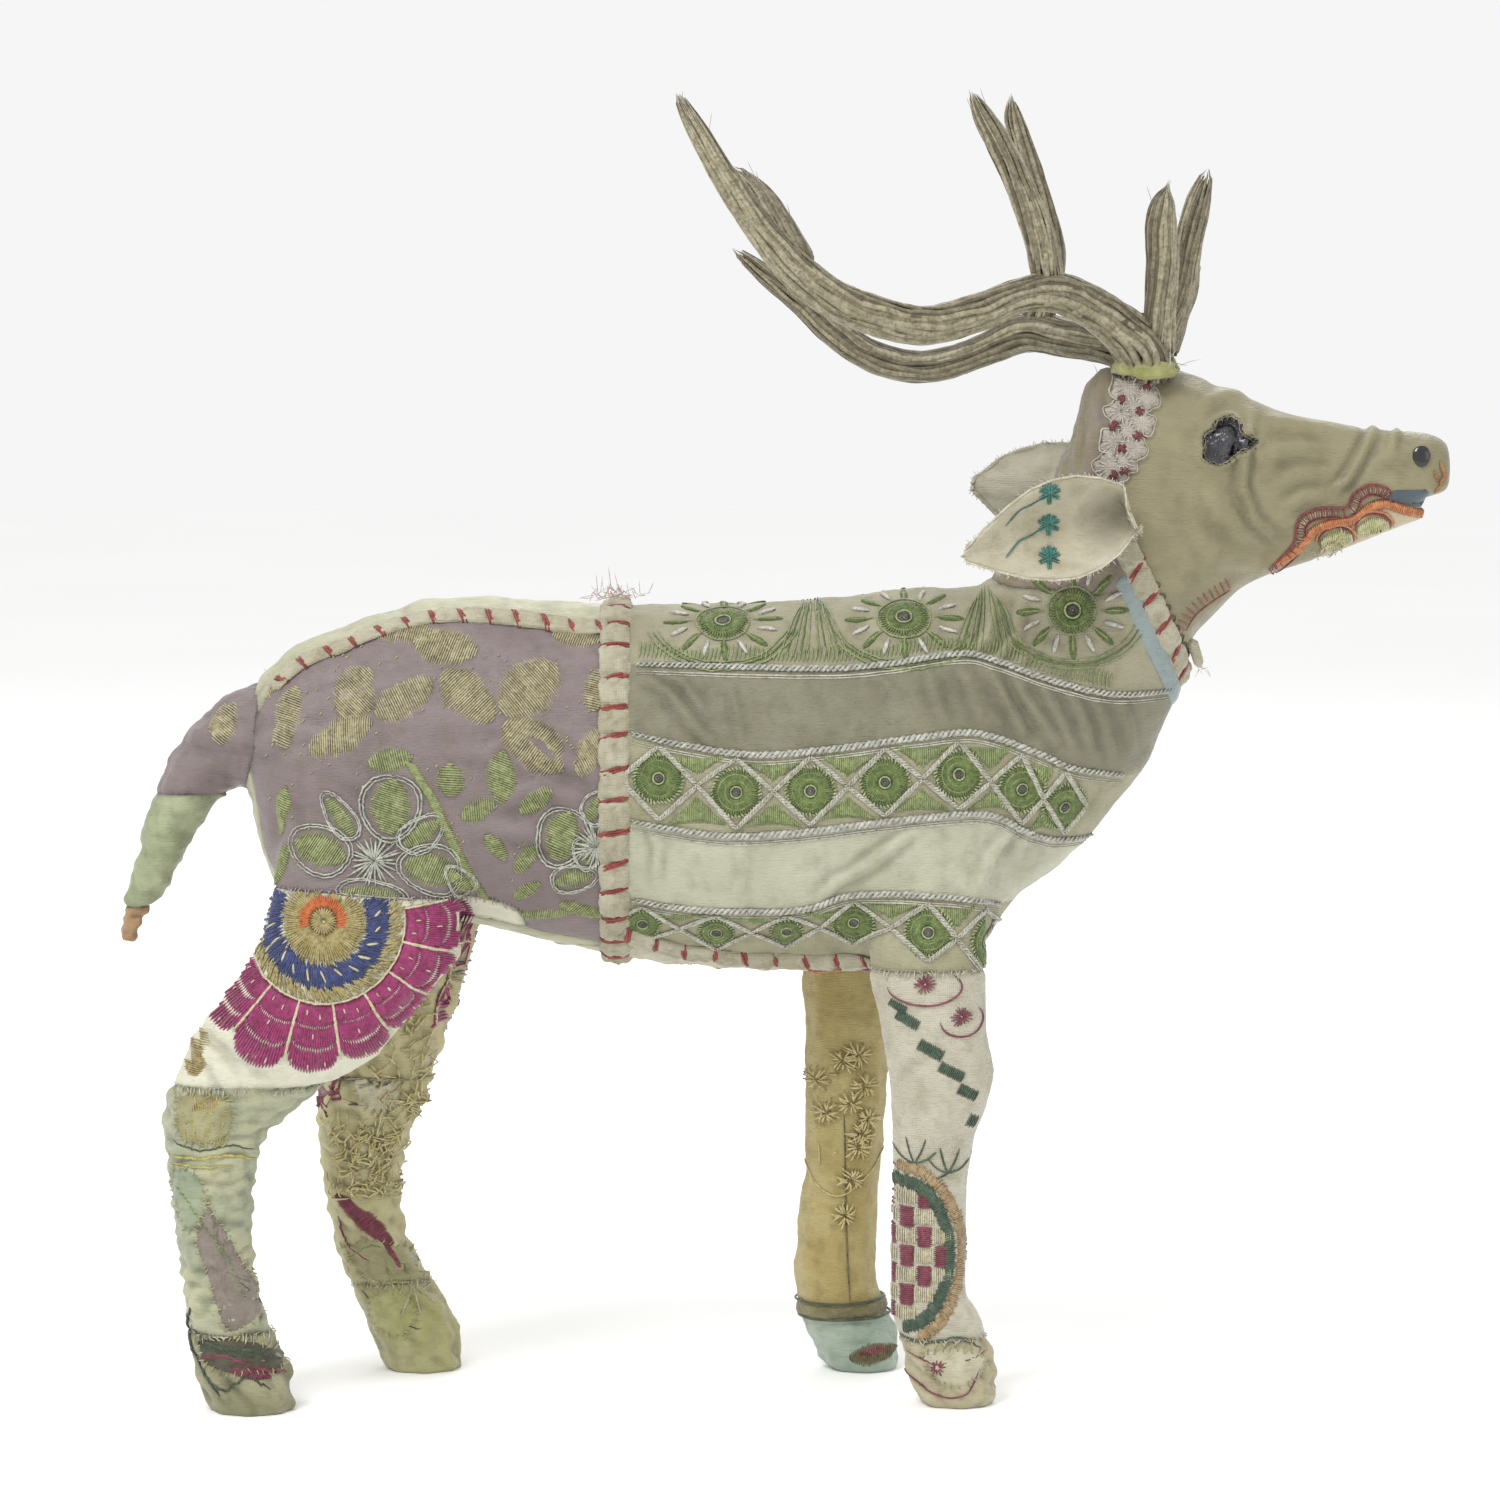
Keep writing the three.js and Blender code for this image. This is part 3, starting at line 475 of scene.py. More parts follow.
def nearest_labels(places):
    """Which panel each place belongs to: the one whose node is nearest."""
    points, faces, owner, count = [], [], [], 0
    for i, node in enumerate(LABELS):
        p, f = welded(node)
        points.append(p)
        faces.append(f + count)
        owner += [i] * len(f)
        count += len(p)
    tree = BVHTree.FromPolygons(np.concatenate(points).tolist(), np.concatenate(faces).tolist())
    return np.array([owner[tree.find_nearest(p)[2]] for p in places.tolist()])


def smoothed(points, faces, strength, rounds):
    """Rounds off the facets, then puts back what the smoothing took from the whole form."""
    mean = averager(edges_of(faces), len(points))
    weight = strength[:, None] * 0.9
    soft = points.copy()
    for _ in range(rounds):
        soft += weight * (mean(soft) - soft)
    normal = normals_of(soft, faces)
    lost = ((points - soft) * normal).sum(1)
    for _ in range(rounds):
        lost += strength * 0.9 * (mean(lost) - lost)
    return soft + normal * lost[:, None]


def face_values_at_points(values, faces, count):
    """The value of one of the faces round each point."""
    result = np.zeros(count, values.dtype)
    for k in range(4):
        result[faces[:, k]] = values
    return result


# Seam lines that the covers' nearest surface doesn't give.
RUMP_HEM = from_corner("right_rump_cover",
                       [(-40, 22), (5, 19), (27, 18.5), (45, 17), (70, 15), (80, 11), (84, -9)])


def corrected(labels, places):
    """The near rump's hem hangs over the thigh, and the flank's silk covers the tops of the forelegs."""
    rump, thigh = LABELS.index("right_rump_cover"), LABELS.index("right_hind_thigh_cover")
    x, y, z = places.T
    hem = np.interp(x, *np.array(RUMP_HEM).T)
    near = (y < middle("spine_wire")[1] - 6) & (x < RUMP_HEM[-1][0])
    labels[near & (labels == thigh) & (z > hem)] = rump
    labels[near & (labels == rump) & (z < hem)] = thigh
    flank = LABELS.index("flank_cover")
    for node, side in (("right_fore_cover", RIGHT), ("left_fore_cover", LEFT)):
        outer = (y * side > 6) & (z > corner("flank_cover")[2] - 1)
        labels[outer & (labels == LABELS.index(node))] = flank
    return labels


def even_seams(points, faces, labels):
    """Straightens the stepped edge between two panels."""
    first = np.full(len(points), -1)
    mixed = np.zeros(len(points), bool)
    for k in range(4):
        seen = first[faces[:, k]]
        mixed[faces[:, k][(seen >= 0) & (seen != labels)]] = True
        first[faces[:, k]] = labels
    for k in range(4):
        mixed[faces[:, k][first[faces[:, k]] != labels]] = True
    edges = edges_of(faces)
    seam = edges[mixed[edges].all(1)]
    mean = averager(seam, len(points))
    even = points.copy()
    for _ in range(14):
        even[mixed] += 0.6 * (mean(even) - even)[mixed]
    mean = averager(edges, len(points))
    loosened = even.copy()
    for _ in range(3):
        loosened[~mixed] += 0.5 * (mean(loosened) - loosened)[~mixed]
    near_seam = mean(mean(mean(mixed.astype(float)))) > 0
    even[near_seam & ~mixed] = loosened[near_seam & ~mixed]
    return even, mixed


# Wrinkles, as offsets along the skin's normal.
def polyline_distance(x, z, line):
    """How far each place is from a line, and its share of the way along it."""
    best = np.full(x.shape, 1e9)
    share = np.zeros(x.shape)
    for i, ((x0, z0), (x1, z1)) in enumerate(zip(line, line[1:])):
        dx, dz = x1 - x0, z1 - z0
        t = np.clip(((x - x0) * dx + (z - z0) * dz) / (dx * dx + dz * dz), 0, 1)
        away = np.hypot(x - x0 - t * dx, z - z0 - t * dz)
        closer = away < best
        best[closer] = away[closer]
        share[closer] = (i + t[closer]) / (len(line) - 1)
    return best, share


def crease(x, z, line, lift, width):
    """A fold that rises along a line and dips beside it, fading out at both ends."""
    away, share = polyline_distance(x, z, line)
    fade = np.clip(4 * share, 0, 1) * np.clip(4 * (1 - share), 0, 1)
    ridge = np.exp(-((away / width) ** 2)) - 0.45 * np.exp(-(((away - 2 * width) / (1.3 * width)) ** 2))
    return lift * fade * ridge


def ripples(places, direction, wavelength, seed, spread=0.5):
    """Irregular waves whose crests run square to a direction."""
    draw = np.random.default_rng(seed)
    total = np.zeros(len(places))
    for _ in range(7):
        turn = unit(np.array(direction, float) + draw.normal(0, spread, 3))
        length = wavelength * draw.uniform(0.7, 1.6)
        warp = 0.9 * np.sin(places @ draw.normal(0, 1 / (2.2 * wavelength), 3) + draw.uniform(0, 6))
        total += np.sin(2 * math.pi * (places @ turn) / length + warp * 2 + draw.uniform(0, 6))
    return total / 4


def flank_line(places):
    return from_corner("flank_cover", places)


# The flank's four twisted cords, from the girth to the chest.
CORDS = [
    flank_line([(6, 90), (66, 89), (101, 93), (113, 91), (131, 85), (148, 81), (166, 81)]),
    flank_line([(5, 70), (19, 67), (42, 64), (66, 66), (89, 69), (107, 70), (125, 64), (136, 59), (152, 56)]),
    flank_line([(5, 44), (31, 40), (54, 41), (78, 44), (101, 46), (113, 45), (122, 40), (131, 37),
                (143, 37)]),
    flank_line([(5, 20), (25, 17), (54, 17), (72, 22), (101, 21), (115, 17)]),
]


def cord_height(cord, x):
    return np.interp(x, *np.array(CORDS[cord]).T)


def body_creases():
    """Listed folds: panel, line from the panel's corner, lift and half width."""
    flank = [
        ([(6, 88), (16, 82), (24, 72), (30, 66)], 1.0, 1.3),
        ([(14, 88), (21, 84), (27, 76)], 0.7, 1.0),
        ([(34, 86), (36, 78), (38, 67)], 0.5, 0.9),
        ([(72, 88), (80, 86), (86, 78)], 0.4, 1.2),
        ([(93, 90), (96, 80), (99, 71)], 0.6, 1.4),
        ([(103, 92), (107, 80), (110, 72)], 0.6, 1.5),
        ([(111, 90), (117, 78), (123, 66)], 1.3, 1.5),
        ([(117, 89), (122, 80), (131, 68), (135, 61)], 0.9, 1.5),
        ([(125, 87), (131, 76), (138, 62)], 0.8, 1.4),
        ([(133, 85), (139, 74), (143, 60)], 0.8, 1.3),
        ([(141, 83), (146, 72), (149, 59)], 0.7, 1.3),
        ([(149, 81), (153, 72), (155, 62)], 0.6, 1.2),
        ([(10, 43), (13, 36), (12, 25)], 0.7, 1.0),
        ([(37, 39), (38, 30), (36, 20)], 0.4, 1.1),
        ([(58, 19), (66, 26), (76, 31), (88, 40)], 0.9, 1.4),
        ([(70, 29), (80, 36), (92, 43)], 0.6, 1.2),
        ([(108, 22), (112, 33), (119, 42)], 0.8, 1.6),
        ([(119, 30), (121, 36), (127, 42)], 0.6, 1.4),
        ([(107, 92), (112, 100), (114, 112)], 1.0, 1.6),
        ([(113, 91), (119, 98), (121, 110)], 0.9, 1.2),
        ([(118, 89), (127, 96), (133, 92)], 0.5, 1.2),
    ]
    rump = [
        ([(4, 62), (20, 74), (34, 78), (52, 82), (66, 80)], 0.9, 2.6),
        ([(-4, 58), (12, 66), (24, 66)], 0.8, 2.2),
        ([(80, 68), (88, 60), (100, 55), (107, 52)], 1.1, 2.4),
        ([(70, 45), (86, 50), (100, 46)], 0.9, 2.6),
        ([(22, 58), (36, 50), (46, 52)], 0.6, 2.2),
        ([(72, 38), (84, 36), (96, 30)], 0.8, 2.2),
        ([(8, 48), (12, 36), (10, 24)], 0.7, 2.0),
        ([(60, 62), (70, 60), (78, 64)], 0.5, 2.0),
    ]
    face = [
        ([(43, 83), (40, 72), (39, 60), (43, 50), (53, 41)], 1.3, 1.2),
        ([(81, 79), (77, 72), (71, 62), (66, 58)], 1.4, 1.1),
        ([(88, 78), (85, 73), (84, 70)], 0.8, 0.8),
        ([(46, 70), (56, 71), (68, 70)], 0.9, 2.2),
        ([(44, 80), (56, 78), (72, 76)], 0.7, 2.0),
        ([(48, 60), (58, 64), (68, 63)], 0.6, 2.0),
        ([(50, 52), (58, 57), (66, 58)], 0.7, 1.6),
        ([(28, 62), (33, 52), (42, 44)], 0.8, 2.6),
        ([(22, 50), (32, 38), (42, 36)], 0.6, 3.0),
        ([(33, 38), (46, 36), (54, 38)], 0.5, 2.2),
        ([(8, 52), (18, 46), (24, 34)], 0.4, 3.0),
        ([(26, 84), (34, 87), (43, 86)], 0.8, 1.6),
        ([(76, 66), (84, 68), (92, 64)], 0.5, 1.6),
    ]
    thigh = [
        ([(8, 22), (20, 14), (34, 4)], 0.8, 2.0),
        ([(4, 16), (14, 8), (20, -2)], 0.8, 1.8),
        ([(60, 20), (70, 30), (84, 36)], 0.5, 2.0),
    ]
    return {
        "flank_cover": flank, "right_rump_cover": rump, "left_rump_cover": rump,
        "face_cover": face, "right_hind_thigh_cover": thigh,
    }


# Panel: wave direction, wavelength and height of the loose cloth, then of the finer crumples.
LOOSE = {
    "right_rump_cover": ((0.3, 0, 1), 16, 0.5, 0.12),
    "left_rump_cover": ((0.6, 0, 0.6), 13, 0.55, 0.18),
    "flank_cover": ((1, 0, 0.25), 12, 0.32, 0.1),
    "neck_cover": ((1, 0, -0.3), 7, 0.7, 0.2),
    "belly_panel": ((1, 0, 0), 9, 0.5, 0.3),
    "face_cover": ((0.5, 0.2, 1), 21, 0.14, 0.05),
    "jaw_cover": ((1, 0, 0), 9, 0.1, 0.1),
    "right_hind_thigh_cover": ((0.4, 0, 1), 14, 0.3, 0.12),
    "left_hind_thigh_cover": ((1, 0, 0.6), 8, 0.8, 0.25),
    "right_hind_shin_cover": ((0.25, 0.1, 1), 5.5, 0.95, 0.25),
    "left_hind_shin_cover": ((0.5, 0.1, 1), 5.5, 0.9, 0.25),
    "right_fore_cover": ((1, 0, 0.3), 11, 0.3, 0.12),
    "left_fore_cover": ((0.5, 0, 1), 13, 0.4, 0.15),
    "right_hind_hoof": ((0.7, 0, 1), 6, 1.0, 0.3),
    "left_hind_hoof": ((1, 0, 0.7), 6, 1.0, 0.3),
    "right_fore_hoof": ((0.7, 0, 1), 6, 0.85, 0.35),
    "left_fore_hoof": ((0.3, 0, 1), 8, 0.6, 0.25),
    "tail_root_cover": ((0.2, 0, 1), 10, 0.8, 0.25),
    "tail_wrap": ((0.5, 0.3, 1), 8, 0.8, 0.25),
    "tail_tip": ((0, 0, 1), 4, 0.7, 0.3),
}


def wrinkled(points, faces, at_point, seam):
    """Moves the skin along its normals, and returns each point's painted shade: darker in fold valleys and
    along seam grooves.
    """
    normal = normals_of(points, faces)
    offset = np.zeros(len(points))
    mean = averager(edges_of(faces), len(points))
    for i, (node, (direction, wavelength, height, fine)) in enumerate(LOOSE.items()):
        mine = at_point == LABELS.index(node)
        places = points[mine]
        offset[mine] = height * ripples(places, direction, wavelength, seed=i)
        offset[mine] += fine * ripples(places, direction, wavelength / 3.5, seed=40 + i, spread=0.9)
    for node, folds in body_creases().items():
        mine = at_point == LABELS.index(node)
        x, z = points[mine][:, 0], points[mine][:, 2]
        for line, lift, width in folds:
            offset[mine] += crease(x, z, from_corner(node, line), lift * 1.6, width)
    for _ in range(2):
        offset = 0.5 * offset + 0.5 * mean(offset)
    offset = np.clip(offset, -1.0, 2.2)
    groove = seam.astype(float)
    for _ in range(2):
        groove = mean(groove)
    offset -= 0.55 * np.clip(1.6 * groove, 0, 1)
    offset += dished_eyes(points, at_point)
    offset *= np.clip((points[:, 2] + 0.5) / 4, 0.05, 1)
    moved = points + normal * offset[:, None]
    moved[:, 2] = np.maximum(moved[:, 2], 0.02)
    # Painted shade: points lying below their smoothed fold height, and the seam grooves, get a darkening
    # share for the cloth's colour.
    broad = offset.copy()
    for _ in range(10):
        broad = mean(broad)
    painted_shade = np.clip((broad - offset) / 0.5, 0, 1) * 0.6 + np.clip(1.6 * groove, 0, 1) * 0.5
    return moved, np.clip(painted_shade, 0, 1)


# The torn eye holes show dark foil. Each outline is an angle in degrees and a reach.
EYE_OUTLINE = [(0, 9.2), (28, 5.2), (52, 6.6), (80, 7.6), (112, 7.2), (140, 6.0), (165, 7.4), (190, 6.9),
               (212, 8.3), (240, 7.4), (262, 6.4), (290, 5.0), (318, 4.6), (342, 6.4), (360, 9.2)]


def eye_share(points, at_point):
    """How far out each head point is from the eye's middle, as a share of the torn outline."""
    eye = middle("right_eye")
    dx, dz = points[:, 0] - eye[0], points[:, 2] - eye[2]
    turn = np.degrees(np.arctan2(dz, dx)) % 360
    reach = np.interp(turn, *np.array(EYE_OUTLINE).T)
    share = np.hypot(dx, dz) / reach
    side = np.abs(points[:, 1]) > 8
    share[~np.isin(at_point, HEAD) | ~side] = 9
    return share


def dished_eyes(points, at_point):
    share = eye_share(points, at_point)
    hole = np.where(share < 1, -2.0 + 1.1 * np.clip(1 - share, 0, 1) ** 0.5, 0)
    rim = 0.9 * np.exp(-(((share - 1.13) / 0.1) ** 2)) * (share > 1)
    return hole + rim


# Builds the skin once and keeps what the needlework needs.
def build_skin():
    points, faces = swollen_form()
    centres = points[faces].mean(1)
    labels = nearest_labels(centres)
    at_point = face_values_at_points(labels, faces, len(points))
    strength = np.where(np.isin(at_point, SLENDER), 0.13, 1.0)
    strength = np.where(np.isin(at_point, HEAD), 0.3, strength)
    mean = averager(edges_of(faces), len(points))
    for _ in range(12):
        strength = mean(strength)
    points = smoothed(points, faces, strength, 150)
    labels = corrected(labels, points[faces].mean(1))
    points, seam = even_seams(points, faces, labels)
    at_point = face_values_at_points(labels, faces, len(points))
    points, painted_shade = wrinkled(points, faces, at_point, seam)
    eye = eye_share(points[faces].mean(1), labels) < 1
    return {"points": points, "faces": faces, "labels": labels, "painted_shade": painted_shade, "eye": eye}


SKIN = build_skin()
TREES = {}


def tree_of(*nodes):
    """The surface of some panels, for laying thread on."""
    if nodes not in TREES:
        chosen = np.isin(SKIN["labels"], [LABELS.index(n) for n in nodes]) if nodes else slice(None)
        faces = SKIN["faces"][chosen]
        TREES[nodes] = BVHTree.FromPolygons(SKIN["points"].tolist(), faces.tolist())
    return TREES[nodes]


def sub_mesh(name, chosen, material):
    faces = SKIN["faces"][chosen]
    used, back = np.unique(faces, return_inverse=True)
    piece = mesh_object(name, SKIN["points"][used], back.reshape(-1, 4), material)
    set_painted_shade(piece, SKIN["painted_shade"][used])
    thicken(piece, SKIN_THICKNESS)
    return piece


def make_panels():
    materials = cloth_materials()
    for i, (node, (name, slot)) in enumerate(PANELS.items()):
        chosen = (SKIN["labels"] == i) & ~SKIN["eye"]
        if node == "flank_cover":
            make_flank(chosen)
            continue
        piece = sub_mesh(name, chosen, materials[slot])
        finish_piece(piece, replaces=[node])
    centre = SKIN["points"][SKIN["faces"]].mean(1)
    foil = foil_material()
    for side, sign in SIDES:
        chosen = SKIN["eye"] & (centre[:, 1] * sign > 0)
        piece = sub_mesh(side + "_eye_foil", chosen, foil)
        finish_piece(piece, replaces=[side + "_eye"])


def make_flank(chosen):
    """The flank's strips of silk, from the back down. The cords cover the seams between them."""
    x, _, z = SKIN["points"][SKIN["faces"]].mean(1).T
    strip = sum((z < cord_height(k, x)).astype(int) for k in range(len(CORDS)))
    silks = [
        ("flank_top_band", cloth("top_band_silk", 0xA19C80, 0xB2AD92, 0x837D5E)),
        ("flank_upper_silk", cloth("upper_silk", 0x807C64, 0x8F8B72, 0x69654E, satin=True)),
        ("flank_ring_band", cloth("ring_band_silk", 0xA6A283, 0xB8B496, 0x858061)),
        ("flank_lower_silk", cloth("lower_silk", 0xBDBDA2, 0xCBCBB2, 0xA09F82, satin=True)),
        ("flank_bottom_band", cloth("bottom_band_silk", 0xA4A07F, 0xB5B193, 0x857F5F)),
    ]
    for k, (name, silk) in enumerate(silks):
        piece = sub_mesh(name, chosen & (strip == k), silk)
        finish_piece(piece, replaces=["flank_cover"])


def cloth_materials():
    return {
        "rump_cloth": cloth("lilac_satin", 0x827372, 0x8F8080, 0x776C5A, satin=True),
        "back_cloth": cloth("green_back_silk", 0xB9B996, 0xC9C6A6, 0x8F9070, satin=True),
        "neck_cloth": cloth("neck_brocade", 0x9C8D8C, 0x948A6C, 0x75704E),
        "belly_cloth": cloth("belly_cotton", 0xCBC6AC, 0xD8D2BA, 0xA3A98C),
        "face_cloth": cloth("fawn_silk", 0x908866, 0x9F9774, 0x7C7352, satin=True, blotch=45),
        "jaw_cloth": cloth("jaw_linen", 0xCDBE9A, 0xD8CDAE, 0xA88A5A),
        "right_thigh_cloth": cloth("thigh_cotton", 0xE9E7CD, 0xF0EED8, 0xCBC8A8),
        "left_thigh_cloth": cloth("ochre_cotton", 0xC6BC8D, 0xD8CFA5, 0x9E9362),
        "right_shin_cloth": cloth("pale_green_silk", 0xAAB094, 0xC4C39E, 0x76835F, satin=True, blotch=75),
        "left_shin_cloth": cloth("straw_cotton", 0xC4BC8C, 0xD5CEA2, 0x9B9262),
        "right_fore_linen": cloth("white_linen", 0xC9C3AC, 0xD8D3BF, 0xA8A087, thread=0.6, weave=0.09),
        "left_fore_velvet": cloth("ochre_velvet", 0xB9A668, 0xC9B981, 0x93824A, blotch=80),
        "hoof_dark_cloth": cloth("dark_hoof_cloth", 0xB0AC8A, 0x95936E, 0x5C5845),
        "hoof_olive_cloth": cloth("olive_hoof_silk", 0xA9A56A, 0xBFBA8A, 0x7E7C4A, satin=True),
        "hoof_cream_cloth": cloth("cream_hoof_cloth", 0xB9AE8A, 0xCDC4A2, 0x8C7F58),
        "hoof_aqua_cloth": cloth("aqua_hoof_silk", 0x9FB3A2, 0xB4C2AE, 0x7C8C7A, satin=True),
        "tail_wrap_cloth": cloth("tail_green_silk", 0x98A37B, 0xB3B993, 0x70795A, satin=True),
        "tail_tip_cloth": cloth("peach_rag", 0xB08A63, 0xC7A882, 0x7D5A3C),
    }


def foil_material():
    n = Nodes("eye_foil")
    color = n.mix(n.noise(260, 3, 0.4, 0.6), 0x141316, 0x403E46)
    creased = n.bump(n.noise(420, 2), 0.5)
    return n.done(color, 0.22, creased, coat_weight=0.5, coat_roughness=0.1, metallic=0.25)


def core_materials():
    """What the figure holds inside: packed stuffing, wire and pegs."""
    n = Nodes("wood_wool")
    straw = n.mix(n.noise(700, 5, stretch=(1, 1, 0.25)), 0x9C8463, 0x6F5B3E)
    stuffing = n.done(straw, 0.95, n.bump(n.noise(900, 4, stretch=(1, 1, 0.3)), 0.5))
    n = Nodes("annealed_wire")
    tarnish = n.mix(n.noise(500, 4), 0x8B8F92, 0x5B5A57)
    wire = n.done(tarnish, 0.42, n.bump(n.noise(1200, 2), 0.05), metallic=0.85)
    n = Nodes("peg_wood")
    grain = n.mix(n.noise(420, 5, stretch=(1, 1, 0.08)), 0x8A6A45, 0x5E4529)
    peg = n.done(grain, 0.7, n.bump(n.noise(900, 3, stretch=(1, 1, 0.1)), 0.12))
    for node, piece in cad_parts.items():
        if piece.hide_render:
            continue
        material = wire if "wire" in node else peg if "peg" in node else stuffing
        piece.data.materials.clear()
        piece.data.materials.append(material)


# Thread: every stitch is a flattened tube that follows the skin.
def tube_faces(count, steps, sides):
    """The walls and end caps of tubes whose points run round, then along, then tube by tube."""
    first = (np.arange(count) * steps * sides)[:, None, None]
    row = (np.arange(steps - 1) * sides)[None, :, None]
    side = np.arange(sides)[None, None, :]
    after = (side + 1) % sides
    walls = np.stack([first + row + side, first + row + after,
                      first + row + sides + after, first + row + sides + side], -1).reshape(-1, 4)
    start, end = first, first + (steps - 1) * sides
    fan = np.array([[0, k + 1, k] for k in range(1, sides - 1)])
    caps = np.concatenate([start + fan, end + fan[:, ::-1]])
    return walls, caps.reshape(-1, 3)


def tubes(paths, normals, half_widths, half_heights, sides=6):
    """Closed tubes along paths of the same number of points: (count, steps, 3) arrays in millimetres."""
    count, steps = paths.shape[:2]
    along = unit(np.gradient(paths, axis=1))
    across = unit(np.cross(along, normals))
    upward = np.cross(across, along)
    turn = np.arange(sides) * 2 * math.pi / sides
    ring = (
        paths[:, :, None]
        + across[:, :, None] * (np.cos(turn)[:, None] * half_widths[:, :, None, None])
        + upward[:, :, None] * (np.sin(turn)[:, None] * half_heights[:, :, None, None])
    )
    return ring.reshape(-1, 3), *tube_faces(count, steps, sides)


class Needlework:
    """Collects the stitches of one thread and makes one piece of them."""

    def __init__(self, name, material, slot, body="root"):
        self.name, self.material, self.slot, self.body = name, material, slot, body
        self.batches = []

    def add(self, paths, normals, width, height, taper=0.35):
        paths, normals = np.asarray(paths, float), np.asarray(normals, float)
        if not len(paths):
            return
        count, steps = paths.shape[:2]
        t = np.linspace(-1, 1, steps)
        shape = 1 - (1 - taper) * np.abs(t) ** 6
        vary = RNG.uniform(0.8, 1.2, (count, 1))
        self.batches.append((paths, normals, width / 2 * shape * vary, height / 2 * shape * vary))

    def made(self, replaces=()):
        points, faces, count = [], [], 0
        for paths, normals, wide, high in self.batches:
            p, walls, caps = tubes(paths, normals, wide, high)
            points.append(p)
            faces += [walls + count, caps + count]
            count += len(p)
        piece = mesh_object(self.name, np.concatenate(points), joined_faces(faces), self.material)
        return finish_piece(piece, self.body, replaces)


def joined_faces(faces):
    return [np.concatenate([f for f in faces if f.shape[1] == n]) for n in (3, 4)
            if any(f.shape[1] == n for f in faces)]


class Cloth:
    """A place on the skin with its own flat axes, for sewing a motif drawn in millimetres."""

    def __init__(self, nodes, middle_point, right, up, reach=9, depth=60, fall=0):
        self.tree = tree_of(*nodes)
        self.middle = np.array(middle_point, float)
        self.right = unit(np.array(right, float))
        self.out = unit(np.cross(self.right, np.array(up, float)))
        self.up = np.cross(self.out, self.right)
        self.reach = reach
        self.depth = depth
        self.fall = fall

    def lay(self, places, lift=0.0):
        """Places (..., 2) on the motif's plane, brought down to the skin: points and normals."""
        places = np.asarray(places, float)
        flat = places.reshape(-1, 2)
        above = self.middle + flat[:, :1] * self.right + flat[:, 1:] * self.up + self.out * self.reach
        points, normals = np.empty_like(above), np.empty_like(above)
        for i, start in enumerate(above.tolist()):
            hit, normal, _, _ = self.tree.ray_cast(start, (-self.out).tolist(), self.reach + self.depth)
            if hit is None or normal.dot(self.out) < 0.05:
                below = above[i] - self.out * (self.reach + self.fall)
                hit, normal, _, _ = self.tree.find_nearest(below.tolist())
            points[i], normals[i] = hit, normal
        shape = places.shape[:-1] + (3,)
        normals = unit(normals)
        return (points + normals * lift).reshape(shape), normals.reshape(shape)


def side_cloth(side, *nodes):
    """The whole flat side of the stag: places are x and z."""
    across = (1, 0, 0) if side == RIGHT else (-1, 0, 0)
    return SideCloth(nodes, (0, side * 90, 0), across, (0, 0, 1), depth=130, fall=78)


class SideCloth(Cloth):
    def lay(self, places, lift=0.0):
        places = np.array(places, float)
        places[..., 0] *= self.right[0]
        return super().lay(places, lift)


def patch(side, place, *nodes):
    """A motif's own cloth, square to the skin at a place on the stag's side."""
    point, normal = side_cloth(side, *nodes).lay([place])
    across = (1, 0, 0) if side == RIGHT else (-1, 0, 0)
    right = unit(np.array(across, float) - normal[0] * np.dot(across, normal[0]))
    return Cloth(nodes, point[0], right, np.cross(normal[0], right))


def sew(work, ground, lines, width=0.6, height=0.5, lift=0.12, arch=0.25, steps=5):
    """Straight stitches (x0, z0, x1, z1), each dipping into the cloth at its ends."""
    lines = np.asarray(lines, float).reshape(-1, 4)
    if not len(lines):
        return
    t = np.linspace(0, 1, steps)[None, :, None]
    places = lines[:, None, :2] * (1 - t) + lines[:, None, 2:] * t
    points, normals = ground.lay(places)
    rise = lift + arch * (1 - np.abs(2 * t - 1) ** 4) - 0.3 * np.abs(2 * t - 1) ** 12
    work.add(points + normals * rise, normals, width, height)


def sampled(line, pitch):
    """Points at an even pitch along a smooth curve through a line's places."""
    line = np.asarray(line, float)
    fine = []
    for i in range(len(line) - 1):
        p0, p1, p2, p3 = line[max(i - 1, 0)], line[i], line[i + 1], line[min(i + 2, len(line) - 1)]
        for t in np.linspace(0, 1, 12, endpoint=False):
            fine.append(0.5 * (2 * p1 + (p2 - p0) * t + (2 * p0 - 5 * p1 + 4 * p2 - p3) * t * t
                               + (3 * p1 - p0 - 3 * p2 + p3) * t ** 3))
    fine = np.array(fine + [line[-1]])
    gone = np.concatenate([[0], np.cumsum(np.linalg.norm(np.diff(fine, axis=0), axis=1))])
    at = np.linspace(0, gone[-1], max(int(gone[-1] / pitch) + 1, 3))
    return np.stack([np.interp(at, gone, fine[:, k]) for k in range(line.shape[1])], 1)


def couch(work, ground, line, width=0.7, height=0.6, lift=0.3, pitch=0.8, wobble=0.0):
    """One long thread laid along a curve."""
    places = sampled(line, pitch)
    places += RNG.normal(0, wobble, places.shape) if wobble else 0
    points, normals = ground.lay(places, lift)
    work.add(points[None], normals[None], width, height, taper=0.3)


